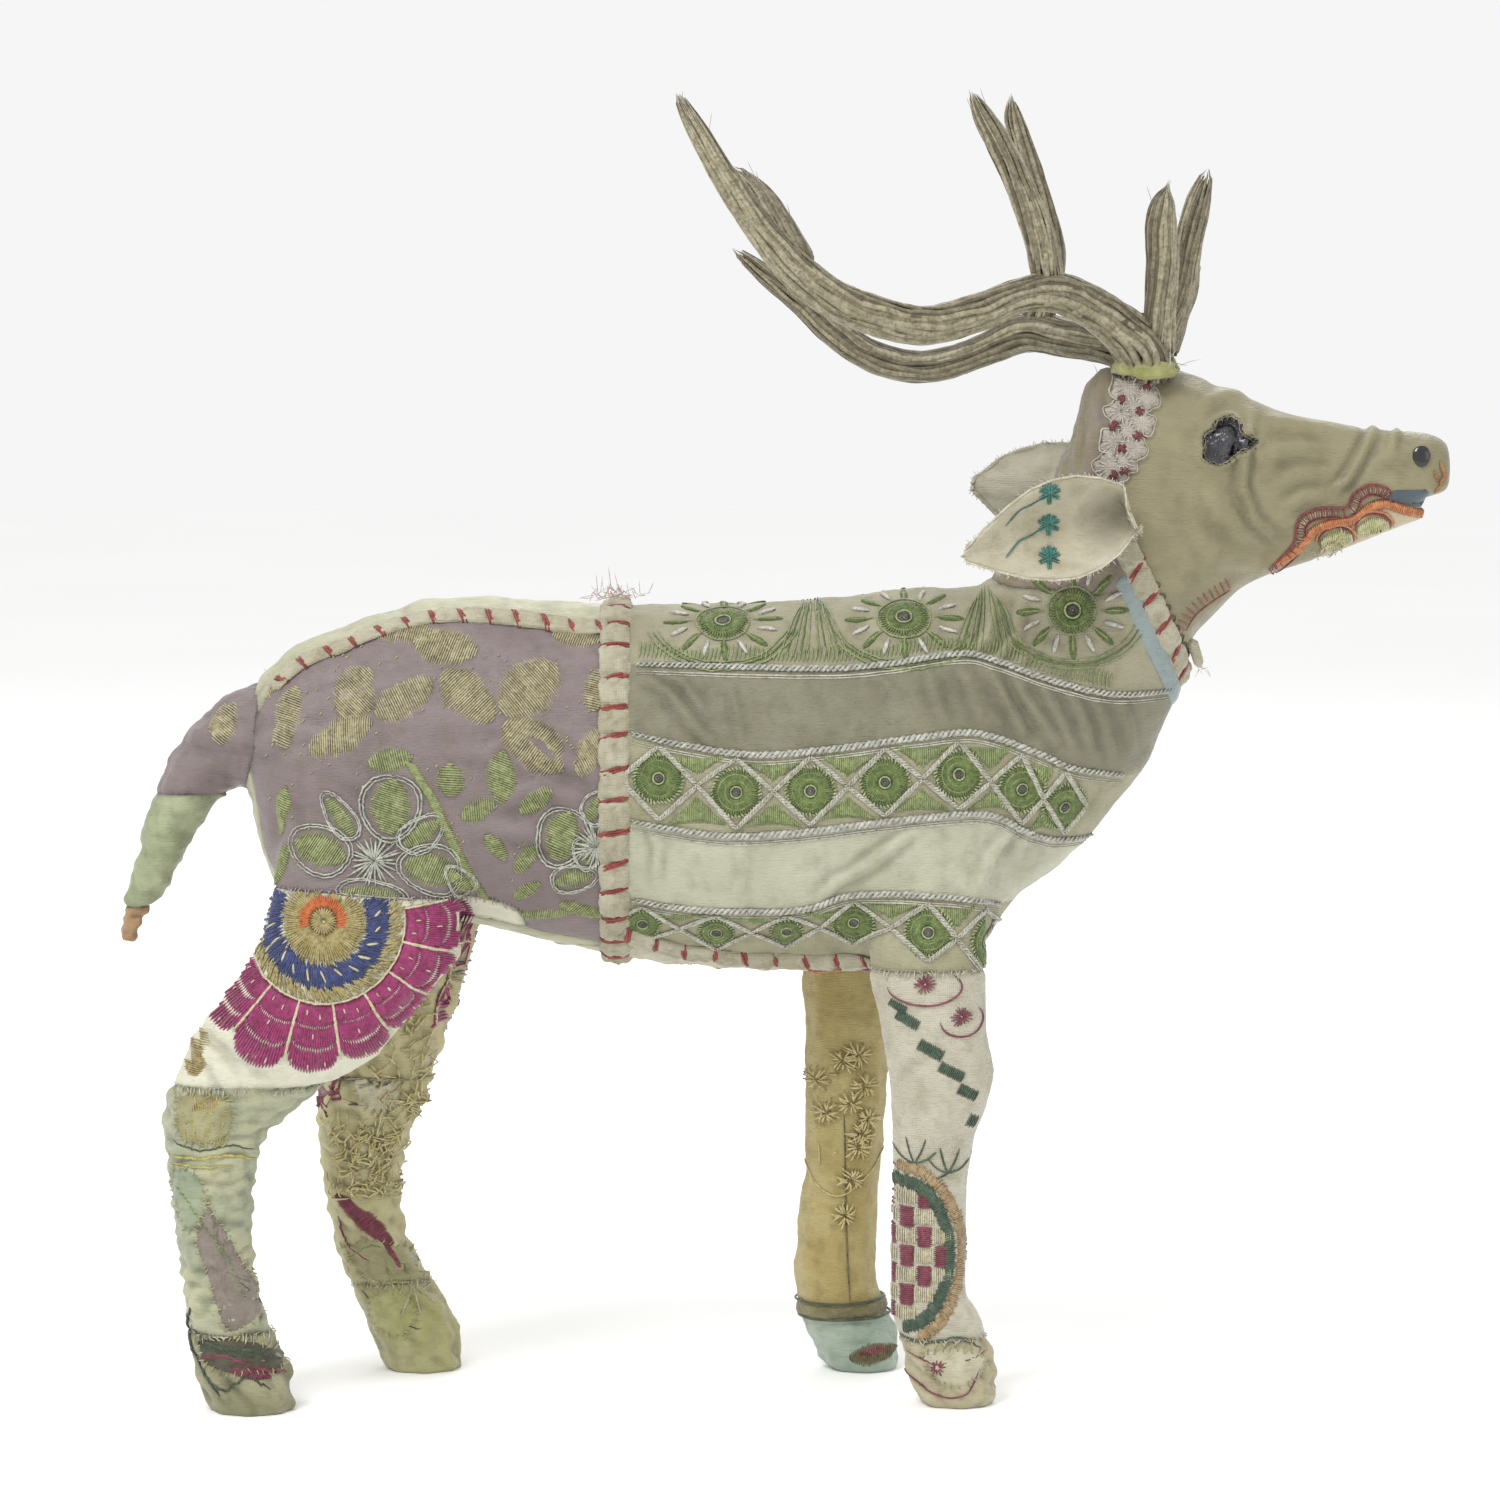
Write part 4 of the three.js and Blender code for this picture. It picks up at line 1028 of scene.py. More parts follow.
def rope(work, ground, line, radius=0.62, pitch=3.4, lift=0.55, strands=2):
    """A twisted cord: strands wound round a curve on the skin."""
    places = sampled(line, pitch / 7)
    points, normals = ground.lay(places)
    for _ in range(3):
        points[1:-1] = (points[:-2] + 2 * points[1:-1] + points[2:]) / 4
    normals = unit(normals)
    along = unit(np.gradient(points, axis=0))
    across = unit(np.cross(along, normals))
    gone = np.concatenate([[0], np.cumsum(np.linalg.norm(np.diff(points, axis=0), axis=1))])
    for k in range(strands):
        turn = 2 * math.pi * (gone / pitch + k / strands)
        path = points + normals * (lift + radius * 0.75 * np.sin(turn))[:, None]
        path += across * (radius * np.cos(turn))[:, None]
        work.add(path[None], normals[None], radius * 1.75, radius * 1.75)


# Motifs, as lists of stitches round the origin of their patch.
def leaf(length, width, angle, slant=75, pitch=0.62, at=(0, 0), blunt=0.62):
    """Satin stitch across a leaf."""
    way, cross = heading(angle), heading(angle + slant)
    t = np.arange(-length / 2, length / 2, pitch)
    half = width / 2 * (1 - (2 * t / length) ** 2) ** blunt
    half = half * RNG.uniform(0.88, 1.08, len(t))
    spine = np.array(at) + t[:, None] * way
    return np.hstack([spine - cross * half[:, None], spine + cross * half[:, None]])


def ring_of(r0, r1, at=(0, 0), start=0, end=360, pitch=0.62):
    """Radial stitches between two radii."""
    r0, r1 = float(r0), float(r1)
    count = max(int(math.radians(abs(end - start)) * (r0 * 0.4 + r1 * 0.6) / pitch), 6)
    turn = np.radians(np.linspace(start, end, count, endpoint=abs(end - start) < 360))
    way = headings(turn)
    inner = r0 * RNG.uniform(0.94, 1.06, (count, 1))
    outer = r1 * RNG.uniform(0.95, 1.04, (count, 1))
    swirl = -aside(way) * 0.12 * r1
    return np.hstack([np.array(at) + way * inner, np.array(at) + way * outer + swirl])


def circle(radius, at=(0, 0), flat=1.0, start=0, end=360, count=28):
    turn = np.radians(np.linspace(start, end, count))
    return np.array(at) + headings(turn) * (radius, radius * flat)


def block(at, size, angle=0, pitch=0.62, upright=True):
    """A square of satin stitch."""
    w, h = size
    way = heading(angle)
    cross = np.array([-way[1], way[0]])
    if not upright:
        way, cross, w, h = cross, way, h, w
    t = np.arange(-w / 2, w / 2 + 0.01, pitch)
    half = h / 2 * RNG.uniform(0.9, 1.08, len(t))
    spine = np.array(at) + t[:, None] * way
    return np.hstack([spine - cross * half[:, None], spine + cross * half[:, None]])


def burst(radius, count, at=(0, 0), inner=0.3):
    turn = np.radians(np.arange(count) * 360 / count + RNG.uniform(-6, 6, count))
    way = headings(turn)
    return np.hstack([np.array(at) + way * inner,
                      np.array(at) + way * radius * RNG.uniform(0.7, 1.1, (count, 1))])


def triangle(base_left, base_right, tip, pitch=0.62):
    """Satin stitch from a base line towards a tip."""
    a, b, c = (np.array(p, float) for p in (base_left, base_right, tip))
    t = np.arange(0.04, 0.97, pitch / max(np.linalg.norm(b - a), 0.1))[:, None]
    foot = a * (1 - t) + b * t
    head = foot + (c - (a + b) / 2) * (1 - np.abs(2 * t - 1)) * RNG.uniform(0.85, 1.0, (len(t), 1))
    return np.hstack([foot, head])


def works(slot, **colors):
    """Needlework pieces by name, each from (thread name, base, light, dark)."""
    return {key: Needlework(name, thread(name, *shades), slot) for key, (name, *shades) in colors.items()}


def make_all(pieces):
    for work in pieces.values():
        if work.batches:
            work.made()


# The flank: twisted cords, rings with a lattice, medallions.
def sew_flank():
    w = works(
        "flank_cloth",
        cord=("flank_silver_cords", 0xB4B4A8, 0xD6D5C9, 0x77766A),
        green=("flank_green_rings", 0x5F7236, 0x798A48, 0x3D4B23),
        pale=("flank_pale_green", 0x84935A, 0xA0AB75, 0x5D6C39),
        edge=("flank_ring_edges", 0x9DAF77, 0xC0C798, 0x5B7338),
        lattice=("flank_lattice", 0xC2BFAE, 0xDAD8C9, 0x8D8974),
        bud=("flank_white_buds", 0xC0BDB2, 0xDDDBD0, 0x87857A),
        hole=("flank_ring_dark_centres", 0x3A382F, 0x6A675C, 0x1E1C18),
    )
    for side in (RIGHT, LEFT):
        ground = side_cloth(side, "flank_cover")
        for line in CORDS:
            rope(w["cord"], ground, line)
            for shift in (-2.0, -2.7):
                couch(w["lattice"], ground, [(x, z + shift) for x, z in line], 0.55, 0.5, 0.15)
        sew_rings(w, side, ground)
        sew_medallions(w, side, ground)
    make_all(w)


MIDDLE_RINGS = flank_line([(13, 57), (36, 53), (58, 53.5), (80, 56), (102, 58), (121, 53), (134, 47)])
LOWER_RINGS = flank_line([(8, 12), (30, 9.5), (51, 10), (71, 13), (93, 11), (110, 7)])


def sew_rings(w, side, ground):
    for row, upper, lower, radius in ((MIDDLE_RINGS, 1, 2, 7.6), (LOWER_RINGS, 3, None, 7.4)):
        xs = [x for x, _ in row]
        gaps = [(a + b) / 2 for a, b in zip(xs, xs[1:])]
        bounds = [xs[0] - (gaps[0] - xs[0])] + gaps + [xs[-1] + (xs[-1] - gaps[-1])]
        for i, (x, z) in enumerate(row):
            top = cord_height(upper, x) - 1.8
            low = cord_height(lower, x) + 1.8 if lower else z - (top - z)
            r = min(radius, (top - low) / 2 * 0.97)
            spot = patch(side, (x, z), "flank_cover")
            sew(w["green"], spot, ring_of(1.5, r), 0.7, 0.6)
            sew(w["edge"], spot, ring_of(r * 0.86, r * 1.04, pitch=1.1), 0.5, 0.45, lift=0.35)
            for k in (0.45, 0.7):
                couch(w["pale"], spot, circle(r * k), 0.4, 0.4, 0.45)
            # Dark grey radial stitches fill the ring's centre.
            sew(w["hole"], spot, ring_of(0.15, 1.6, pitch=0.5), 0.8, 0.5, lift=0.1, arch=0)
            couch(w["edge"], spot, circle(1.7), 0.5, 0.5, 0.35)
            left, right = bounds[i], bounds[i + 1]
            for edge in (left, right):
                cross = np.interp(edge, xs, [p[1] for p in row])
                for tip in (top, low):
                    if lower is None and tip == low and z < 140:
                        continue
                    for shift in (-0.55, 0.55):
                        ends = [(x + shift, tip), (edge + shift, cross)]
                        couch(w["lattice"], ground, ends, 0.75, 0.7, 0.4, wobble=0.06)
                    rope(w["lattice"], ground,
                         [(x, tip), ((x + edge) / 2, (tip + cross) / 2 + 0.4), (edge, cross)],
                         radius=0.34, pitch=2.4, lift=0.75)
        for i in range(len(xs) - 1):
            mid = gaps[i]
            cross = np.interp(mid, xs, [p[1] for p in row])
            reach = (xs[i + 1] - xs[i]) / 2 - 2.6
            rows = [(cord_height(upper, mid) - 2.4, cross + 2)]
            rows += [(cord_height(lower, mid) + 2.2, cross - 2)] if lower else []
            for base, tip in rows:
                fill = triangle((mid - reach, base), (mid + reach, base), (mid, tip))
                sew(w["pale"], ground, fill, 0.65, 0.5)


def sew_medallions(w, side, ground):
    for (x, z), radius in zip(flank_line([(32, 102), (86, 103.5), (136, 106)]), (9.5, 9.5, 8.6)):
        spot = patch(side, (x, z), "flank_cover", "neck_cover")
        sew(w["green"], spot, ring_of(2.2, radius * 0.8, pitch=0.7), 0.75, 0.65)
        couch(w["edge"], spot, circle(2.3), 0.6, 0.6, 0.5)
        couch(w["pale"], spot, circle(radius * 0.55), 0.5, 0.45, 0.45)
        couch(w["pale"], spot, circle(radius * 0.84), 0.6, 0.5, 0.4)
        # Dark grey radial stitches fill the medallion's centre.
        sew(w["hole"], spot, ring_of(0.2, 2.1, pitch=0.5), 0.8, 0.5, lift=0.1, arch=0)
        for k in range(16):
            turn = 360 / 16 * k
            away = radius + 4.6
            at = (away * math.cos(math.radians(turn)), away * math.sin(math.radians(turn)) * 0.82)
            if k % 2:
                sew(w["bud"], spot, leaf(4.8, 4.2, turn, slant=20, pitch=0.6, at=at), 0.7, 0.7, lift=0.3)
            else:
                sew(w["green"], spot, leaf(7.4, 3.4, turn, slant=50, at=at), 0.6, 0.5)
                stem = [(at[0] * 0.62, at[1] * 0.62), (at[0] * 1.15, at[1] * 1.15)]
                couch(w["pale"], spot, stem, 0.5, 0.5, 0.5)
        for k, grow in enumerate((10.5, 12, 13.6)):
            arc = circle(radius + grow, flat=0.78, start=195, end=345)
            couch(w["green" if k == 1 else "pale"], spot, arc, 0.6, 0.5, 0.3, wobble=0.08)
    (low_x, _), (high_x, _) = CORDS[0][0], CORDS[0][-2]
    for x in np.arange(low_x + 1, high_x, 1.25):
        z = cord_height(0, x)
        tall = 3.2 + 2.2 * math.sin(x / 8.5) ** 2
        sew(w["pale"], ground, [(x, z + 1.4, x + 0.8, z + 1.4 + tall)], 0.5, 0.45)
    for centre in flank_line([(59, 101), (111, 103)]):
        for k in range(5):
            for bend in (-1, 1):
                start = (centre[0] + bend * (2 + 2.1 * k), centre[1] - 9)
                end = (centre[0] + bend * (0.5 + 0.8 * k), centre[1] + 9 - k)
                over = (centre[0] + bend * (1.0 + 1.3 * k), centre[1] + 1)
                work = w["green" if k % 2 else "pale"]
                couch(work, ground, [start, over, end], 0.55, 0.5, 0.3, wobble=0.06)


# The rump: satin-stitched leaves, a silver-edged flower and a stem.
RUMP_LEAVES = [
    (45, 95, 24, 8, -20), (58, 91, 18, 11, -15), (31, 78, 15, 14, 60), (46, 76, 18, 11, 30),
    (27, 65, 19, 10, 20), (65, 77, 19, 12, -45), (83, 79, 20, 15, 45), (84, 62, 20, 11, -38),
    (97, 93, 14, 6, -10), (103, 78, 12, 7, 80), (101, 60, 13, 8, 60), (76, 99, 15, 5, -5),
    (11, 70, 17, 10, 70), (-9, 67, 12, 9, 60), (4, 85, 14, 6, 40), (18, 88, 13, 6, 35), (-16, 74, 10, 6, 60),
]
RUMP_GREENS = [
    (42, 58, 12, 7, 10), (60, 52, 9, 8, 90), (75, 53, 14, 8, 85), (85, 46, 11, 6, 35), (68, 43, 10, 6, 20),
    (73, 32, 9, 5, -60), (82, 28, 10, 5, 50), (82, 18, 9, 4, 40), (86, 10, 18, 4, 15), (9, 42, 14, 5, 80),
    (9, 26, 12, 5, 70), (98, 12, 12, 5, -20),
]
STEM = [(48, 57), (54, 47), (59, 36), (64, 25), (70, 14)]
FLOWER = [(42, 44, 17, 15, 80), (21, 31, 17, 12, 155), (27, 41, 14, 6, 125), (51, 36, 13, 8, 35),
          (54, 25, 17, 12, -15), (36, 18, 18, 7, 175), (62, 21, 10, 6, -50)]
SIDE_FLOWER = [(93, 35, 15, 13, 75), (96, 22, 12, 7, 15), (103, 44, 9, 6, 60), (100, 30, 8, 6, 100)]


def sew_rump():
    w = works(
        "rump_cloth",
        gold=("rump_gold_leaves", 0xA99E78, 0xC7BD96, 0x776D4B),
        green=("rump_green_leaves", 0x8F975F, 0xADB47C, 0x626B3E),
        silver=("rump_silver_outline", 0xB0B2A2, 0xD2D4C6, 0x6C6F60),
        straw=("rump_straw_stitches", 0xB1AB70, 0xC9C48C, 0x878250),
        fray=("rump_hem_fray", 0xA79A93, 0xC4B8B0, 0x7A6A66),
    )
    for side, node in ((RIGHT, "right_rump_cover"), (LEFT, "left_rump_cover")):
        nodes = (node, "tail_root_cover")
        origin = corner("right_rump_cover")
        for kind, rows, pitch in (("gold", RUMP_LEAVES, 0.72), ("green", RUMP_GREENS, 0.7)):
            for x, z, length, width, angle in rows:
                if side == LEFT and (x + z) % 3 == 0:
                    continue
                spot = patch(side, (origin[0] + x, origin[2] + z), *nodes)
                turned = angle if side == RIGHT else 180 - angle
                slant = RNG.uniform(60, 100)
                sew(w[kind], spot, leaf(length * 1.12, width * 1.35, turned, slant, pitch), 0.62, 0.5)
        sew_stem(w, side, nodes, origin)
        sew_flowers(w, side, nodes, origin)
        sew_specks(w, side, node, origin)
    fray_hem(w["fray"])
    make_all(w)


def sew_specks(w, side, node, origin):
    """Small yellow-green stitches scattered over the satin."""
    ground = side_cloth(side, node)
    places = RNG.uniform((2, 20), (104, 92), (150, 2)) + origin[[0, 2]]
    ends = places + RNG.uniform(0.1, 0.6, (150, 2))
    sew(w["straw"], ground, np.hstack([places - 0.4, ends]), 0.4, 0.4, lift=0.05)


def sew_belly():
    """Bright flowers showing under the belly tape."""
    w = works(
        "belly_cloth",
        orange=("belly_orange_flowers", 0xC07A48, 0xD39766, 0x85502B),
        teal=("belly_teal_leaves", 0x5C8676, 0x7AA08F, 0x3A5A4E),
        rose=("belly_rose_flowers", 0xB07882, 0xC9979E, 0x7A4C56),
    )
    tree = tree_of("belly_panel")
    low, high = corner("belly_panel"), far_corner("belly_panel")
    ground = Cloth(("belly_panel",), (0, 0, low[2] - 20), (1, 0, 0), (0, -1, 0), reach=0, depth=60)
    for k in range(26):
        at = (RNG.uniform(low[0] + 8, high[0] - 8), RNG.uniform(-30, 30))
        if tree.ray_cast((at[0], -at[1], low[2] - 20), (0, 0, 1), 60)[0] is None:
            continue
        kind = ("orange", "teal", "rose")[k % 3]
        if kind == "teal":
            sew(w[kind], ground, leaf(9, 4, RNG.uniform(0, 180), 80, 0.7, at), 0.7, 0.6)
        else:
            sew(w[kind], ground, ring_of(0.8, RNG.uniform(2.6, 4.2), at), 0.7, 0.6)
    make_all(w)


def sew_stem(w, side, nodes, origin):
    ground = side_cloth(side, *nodes)
    line = sampled([(origin[0] + x, origin[2] + z) for x, z in STEM], 0.75)
    stitches = [(x - 2.4, z + 0.9, x + 2.4, z - 0.7) for x, z in line]
    sew(w["green"], ground, stitches, 0.62, 0.5)


def sew_flowers(w, side, nodes, origin):
    for petals, heart in ((FLOWER, (37, 28)), (SIDE_FLOWER, (103, 32))):
        for x, z, length, width, angle in petals:
            spot = patch(side, (origin[0] + x, origin[2] + z), *nodes)
            turned = angle if side == RIGHT else 180 - angle
            sew(w["green"], spot, leaf(length, width, turned, 82, 0.7), 0.62, 0.5)
            way = math.radians(turned)
            t = np.radians(np.linspace(0, 360, 26))
            bulge = 0.5 * np.sin(3 * t + x)
            ring = np.stack([(length / 2 + 0.6 + bulge) * np.cos(t),
                             (width / 2 + 0.7 + bulge * 0.6) * np.sin(t)], 1)
            turn = np.array([[math.cos(way), math.sin(way)], [-math.sin(way), math.cos(way)]])
            for grow in (1.0, 1.12):
                couch(w["silver"], spot, ring @ turn * grow, 0.55, 0.55, 0.45, wobble=0.1)
        spot = patch(side, (origin[0] + heart[0], origin[2] + heart[1]), *nodes)
        sew(w["silver"], spot, burst(8.5, 26, inner=0.5), 0.55, 0.55, lift=0.5)
        sew(w["silver"], spot, burst(5, 18, inner=0.3), 0.5, 0.5, lift=0.7)


def fray_hem(work):
    """Short loose threads along the rump's hem."""
    ground = side_cloth(RIGHT, "right_rump_cover", "right_hind_thigh_cover")
    line = sampled(RUMP_HEM[1:-1], 1.3)
    stitches = [(x, z + 1.2, x + RNG.normal(0, 1), z - RNG.uniform(0.5, 2.4)) for x, z in line]
    sew(work, ground, stitches, 0.28, 0.28, lift=0.25, arch=0.6)


# The near thigh's rosette, and the patches below it.
def sew_thigh():
    w = works(
        "right_thigh_cloth",
        magenta=("thigh_magenta_petals", 0x96285F, 0xB03A78, 0x6A1A40),
        blue=("thigh_blue_ring", 0x2F3A6C, 0x445088, 0x1C2346),
        gold=("thigh_gold_rings", 0xA39356, 0xBFB07A, 0x6F6235),
        orange=("thigh_orange_ring", 0xC8622A, 0xDA7E3E, 0x96421A),
        cream=("thigh_cream_lines", 0xD2C79E, 0xE2DAB8, 0xA2966B),
        straw=("thigh_hock_patch", 0xA08C52, 0xBFA970, 0x6E5E34),
    )
    for side, node in ((RIGHT, "right_hind_thigh_cover"), (LEFT, "left_hind_thigh_cover")):
        centre = from_corner(node, [(46, 50)])[0]
        if side == LEFT:
            centre = (middle(node)[0] + 4, corner(node)[2] + 44)
        nodes = (node,)
        ground = side_cloth(side, *nodes)
        at = np.array(centre)
        petals = [(-188, 33), (-165, 42), (-141, 46), (-118, 47), (-95, 45), (-72, 43), (-49, 41), (-26, 42),
                  (-3, 43)]
        for turn, reach in petals:
            sew_petal(w, ground, at, turn, reach if side == RIGHT else reach * 0.75)
        # The hem hides the rosette's upper part.
        sew(w["gold"], ground, ring_of(19.5, 23.5, at, -205, 12), 0.7, 0.6, lift=0.3)
        sew(w["blue"], ground, ring_of(12.5, 20.5, at, -212, 25), 0.75, 0.6, lift=0.25)
        sew(w["gold"], ground, ring_of(3.5, 13.2, at), 0.7, 0.65, lift=0.4)
        sew(w["orange"], ground, ring_of(4, 7.8, at, -20, 190), 0.7, 0.6, lift=0.65)
        sew(w["gold"], ground, ring_of(0.5, 4.4, at), 0.7, 0.6, lift=0.45)
        sew(w["cream"], ground, ring_of(14.5, 17.5, at, -175, 5, pitch=4.2), 0.7, 0.6, lift=0.7)
        couch(w["cream"], ground, circle(24, at, start=-200, end=5), 0.6, 0.5, 0.5, wobble=0.08)
    ground = side_cloth(RIGHT, "right_hind_thigh_cover", "right_hind_shin_cover")
    hock = from_corner("right_hind_thigh_cover", [(6, 12)])[0]
    sew(w["straw"], ground, leaf(17, 13, 95, 80, 0.6, hock), 0.6, 0.5)
    make_all(w)


def sew_petal(w, ground, at, turn, reach):
    """Long satin stitches from the rosette's ring to a rounded tip, between two cream lines."""
    half = 11.7
    count = 22
    angles = np.radians(turn + np.linspace(-half, half, count))
    share = np.linspace(-1, 1, count)
    outer = 24 + (reach - 24) * (1 - 0.1 * share ** 2 - 0.3 * np.abs(share) ** 7)
    way = headings(angles)
    parts = 3
    for k in range(parts):
        a = 24 + (outer - 24) * k / parts
        b = 24 + (outer - 24) * (k + 1.12) / parts
        rays = np.hstack([at + way * a[:, None], at + way * b[:, None]])
        sew(w["magenta"], ground, rays, 0.85, 0.6, lift=0.15)
    for edge in (-half, half):
        line = [at + heading(turn + edge) * r
                for r in (23.5, 23.5 + (reach - 24) * 0.4, 24 + (reach - 24) * 0.82)]
        couch(w["cream"], ground, line, 0.7, 0.6, 0.55, wobble=0.05)
    ticks = [(at + way[j] * r, at + way[j] * (r + 1.8)) for j, r in
             ((3, reach - 3.5), (9, reach - 2.4), (15, reach - 3.5), (6, 26), (13, 27), (10, 33))]
    sew(w["cream"], ground, [(*a, *b) for a, b in ticks], 0.5, 0.5, lift=0.55)


# Forelegs and hooves.
def couch_rows(w, ground, node, *rows):
    """Couched threads: color, width, height, lift, wobble, then places from the node's corner."""
    for color, width, height, lift, wobble, *places in rows:
        couch(w[color], ground, from_corner(node, places), width, height, lift, wobble=wobble)


def leaf_rows(w, ground, node, *rows):
    """Satin leaves: color, length, width, angle, slant, pitch, place, then stitch width and height."""
    for color, length, width, angle, slant, pitch, place, wide, high in rows:
        at = from_corner(node, [place])[0]
        sew(w[color], ground, leaf(length, width, angle, slant, pitch, at), wide, high)


def sew_forelegs():
    w = works(
        "right_fore_linen",
        maroon=("fore_maroon_stitches", 0x7A3140, 0x97485A, 0x50202C),
        green=("fore_green_stitches", 0x3E5340, 0x567055, 0x26352A),
        cream=("fore_cream_blocks", 0xCBC2A0, 0xDDD6BA, 0x9A9070),
        tan=("fore_tan_arc", 0xA68C63, 0xBFA67C, 0x77603F),
        straw=("fore_straw_tufts", 0xD2C284, 0xE2D5A0, 0x9A8848),
        dark=("fore_dark_seams", 0x6B5F3A, 0x857A50, 0x463D25),
    )
    for side in (RIGHT, LEFT):
        ground = side_cloth(side, "right_fore_cover", "right_fore_hoof")
        sew_linen(w, ground)
        sew_velvet(w, side_cloth(side, "left_fore_cover", "left_fore_hoof"))
    make_all(w)


def sew_linen(w, ground):
    def at(x, z):
        return from_corner("right_fore_cover", [(x, z)])[0]

    for place, loop in ((at(17, 108), (11, 5.5)), (at(28, 98), (6.5, 5))):
        sew(w["maroon"], ground, burst(3.4, 16, place), 0.45, 0.4, lift=0.25)
        arc = headings(np.radians(np.linspace(-175, 40, 18))) * loop - (0, 1)
        couch(w["maroon"], ground, np.array(place) + arc, 0.6, 0.5, 0.3)
    for x, z, w1, h in ((9, 101, 5, 3), (12, 97, 7, 4), (19, 88, 8, 4.2), (25, 81.5, 7.5, 4), (30, 75, 6, 4),
                        (31.5, 66, 3, 4.5)):
        sew(w["green"], ground, block(at(x, z), (w1, h), -28), 0.6, 0.5)
    for x, z in ((14, 53.5), (24, 50.5)):
        for turn in (150, 110, 60, 20, 200):
            way = heading(turn)
            foot = np.array(at(x, z))
            couch(w["green"], ground, [foot, foot + way * 4, foot + way * 7 + (0, 1.5)], 0.6, 0.5, 0.3)
    centre = np.array(at(10, 26))
    sew(w["tan"], ground, oval_ring(centre, (20.5, 28.5), (16.5, 24.5), -72, 92), 0.75, 0.55)
    sew(w["green"], ground, oval_ring(centre, (16.8, 24.5), (12.6, 20), -85, 100), 0.75, 0.6, lift=0.2)
    for row in range(7):
        for column in range(5):
            x, z = -8.5 + column * 5.2, -18 + row * 5.9
            if (x / 13.2) ** 2 + (z / 20.5) ** 2 > 1.02:
                continue
            kind = "maroon" if (row + column) % 2 else "cream"
            sew(w[kind], ground, block(centre + (x, z), (5.2, 5.9), upright=kind == "cream"), 0.65, 0.5)
    couch_rows(
        w, ground, "right_fore_cover",
        ("green", 0.6, 0.5, 0.3, 0.15, (6, 2), (16, -1), (27, 1), (34, -3)),
        ("maroon", 0.6, 0.5, 0.3, 0.15, (12, -4), (20, -7), (30, -6), (36, -4)),
        ("maroon", 0.6, 0.5, 0.3, 0, (10, -3), (12, -11), (22, -17), (30, -16), (34, -8)),
    )
    sew(w["maroon"], ground, burst(2.8, 12, at(21, -8)), 0.5, 0.45, lift=0.3)


def oval_ring(centre, outer, inner, start, end, pitch=0.62):
    count = int(math.radians(end - start) * (outer[0] + outer[1]) / 2 / pitch)
    t = np.radians(np.linspace(start, end, count))
    way = headings(t)
    jitter = RNG.uniform(0.98, 1.02, (count, 1))
    return np.hstack([centre + way * np.array(inner) * jitter, centre + way * np.array(outer) * jitter])


def sew_velvet(w, ground):
    def at(x, z):
        return from_corner("left_fore_cover", [(x, z)])[0]

    for x, z in ((7, 72), (19, 80), (21, 70), (22, 60), (19, 51), (17, 41), (15, 30), (15, 78), (10, 62),
                 (17, 65), (20, 55)):
        tuft = burst(4.6, 15, at(x, z), inner=0.4)
        sew(w["straw"], ground, tuft + RNG.normal(0, 0.4, tuft.shape), 0.6, 0.6, lift=0.4, arch=1.0)
    couch_rows(
        w, ground, "left_fore_cover",
        ("straw", 0.6, 0.5, 0.3, 0, (1, 52), (6, 40), (14, 36), (24, 44), (30, 56)),
        ("dark", 0.6, 0.5, 0.2, 0, (15, 62), (15.5, 40), (16, 20), (17, 2)),
        ("straw", 0.6, 0.5, 0.3, 0, (15, 34), (14, 30), (17, 31), (16, 26)),
    )
    sew(w["dark"], ground, leaf(15, 8, 8, 85, 0.55, at(24, -14)), 0.6, 0.45)
    sew(w["maroon"], ground, leaf(9, 4, 8, 60, 0.8, at(24, -13)), 0.5, 0.45, lift=0.35)


# Small scraps of cloth and loose threads on the legs.
SCRAPS = [
    ("mauve", "right_hind_shin_cover", [(14, 41), (20, 31), (31, 8), (27, 3), (20, 2), (14, 19), (11, 30)]),
    ("olive", "right_hind_shin_cover", [(5, 71), (12, 73), (22, 70), (21, 60), (11, 57), (5, 61)]),
    ("teal", "right_hind_shin_cover", [(4, 50), (11, 49), (15, 40), (10, 31), (6, 34), (3, 43)]),
    ("mauve", "left_hind_shin_cover", [(3, 88), (11, 92), (19, 86), (17, 77), (8, 74), (3, 80)]),
    ("cream", "left_hind_shin_cover", [(14, 74), (24, 79), (27, 66), (24, 54), (15, 56), (11, 66)]),
    ("olive", "left_hind_shin_cover", [(8, 12), (18, 14), (30, 9), (34, 1), (22, 0), (12, 4)]),
    ("dark", "right_hind_hoof", [(3, 22), (12, 24), (26, 20), (29, 14), (17, 13), (6, 15)]),
    ("green", "left_hind_hoof", [(6, 24), (16, 26), (22, 20), (18, 12), (9, 14)]),
    ("cream", "right_fore_hoof", [(6, 17), (16, 19), (25, 16), (23, 9), (12, 8)]),
]


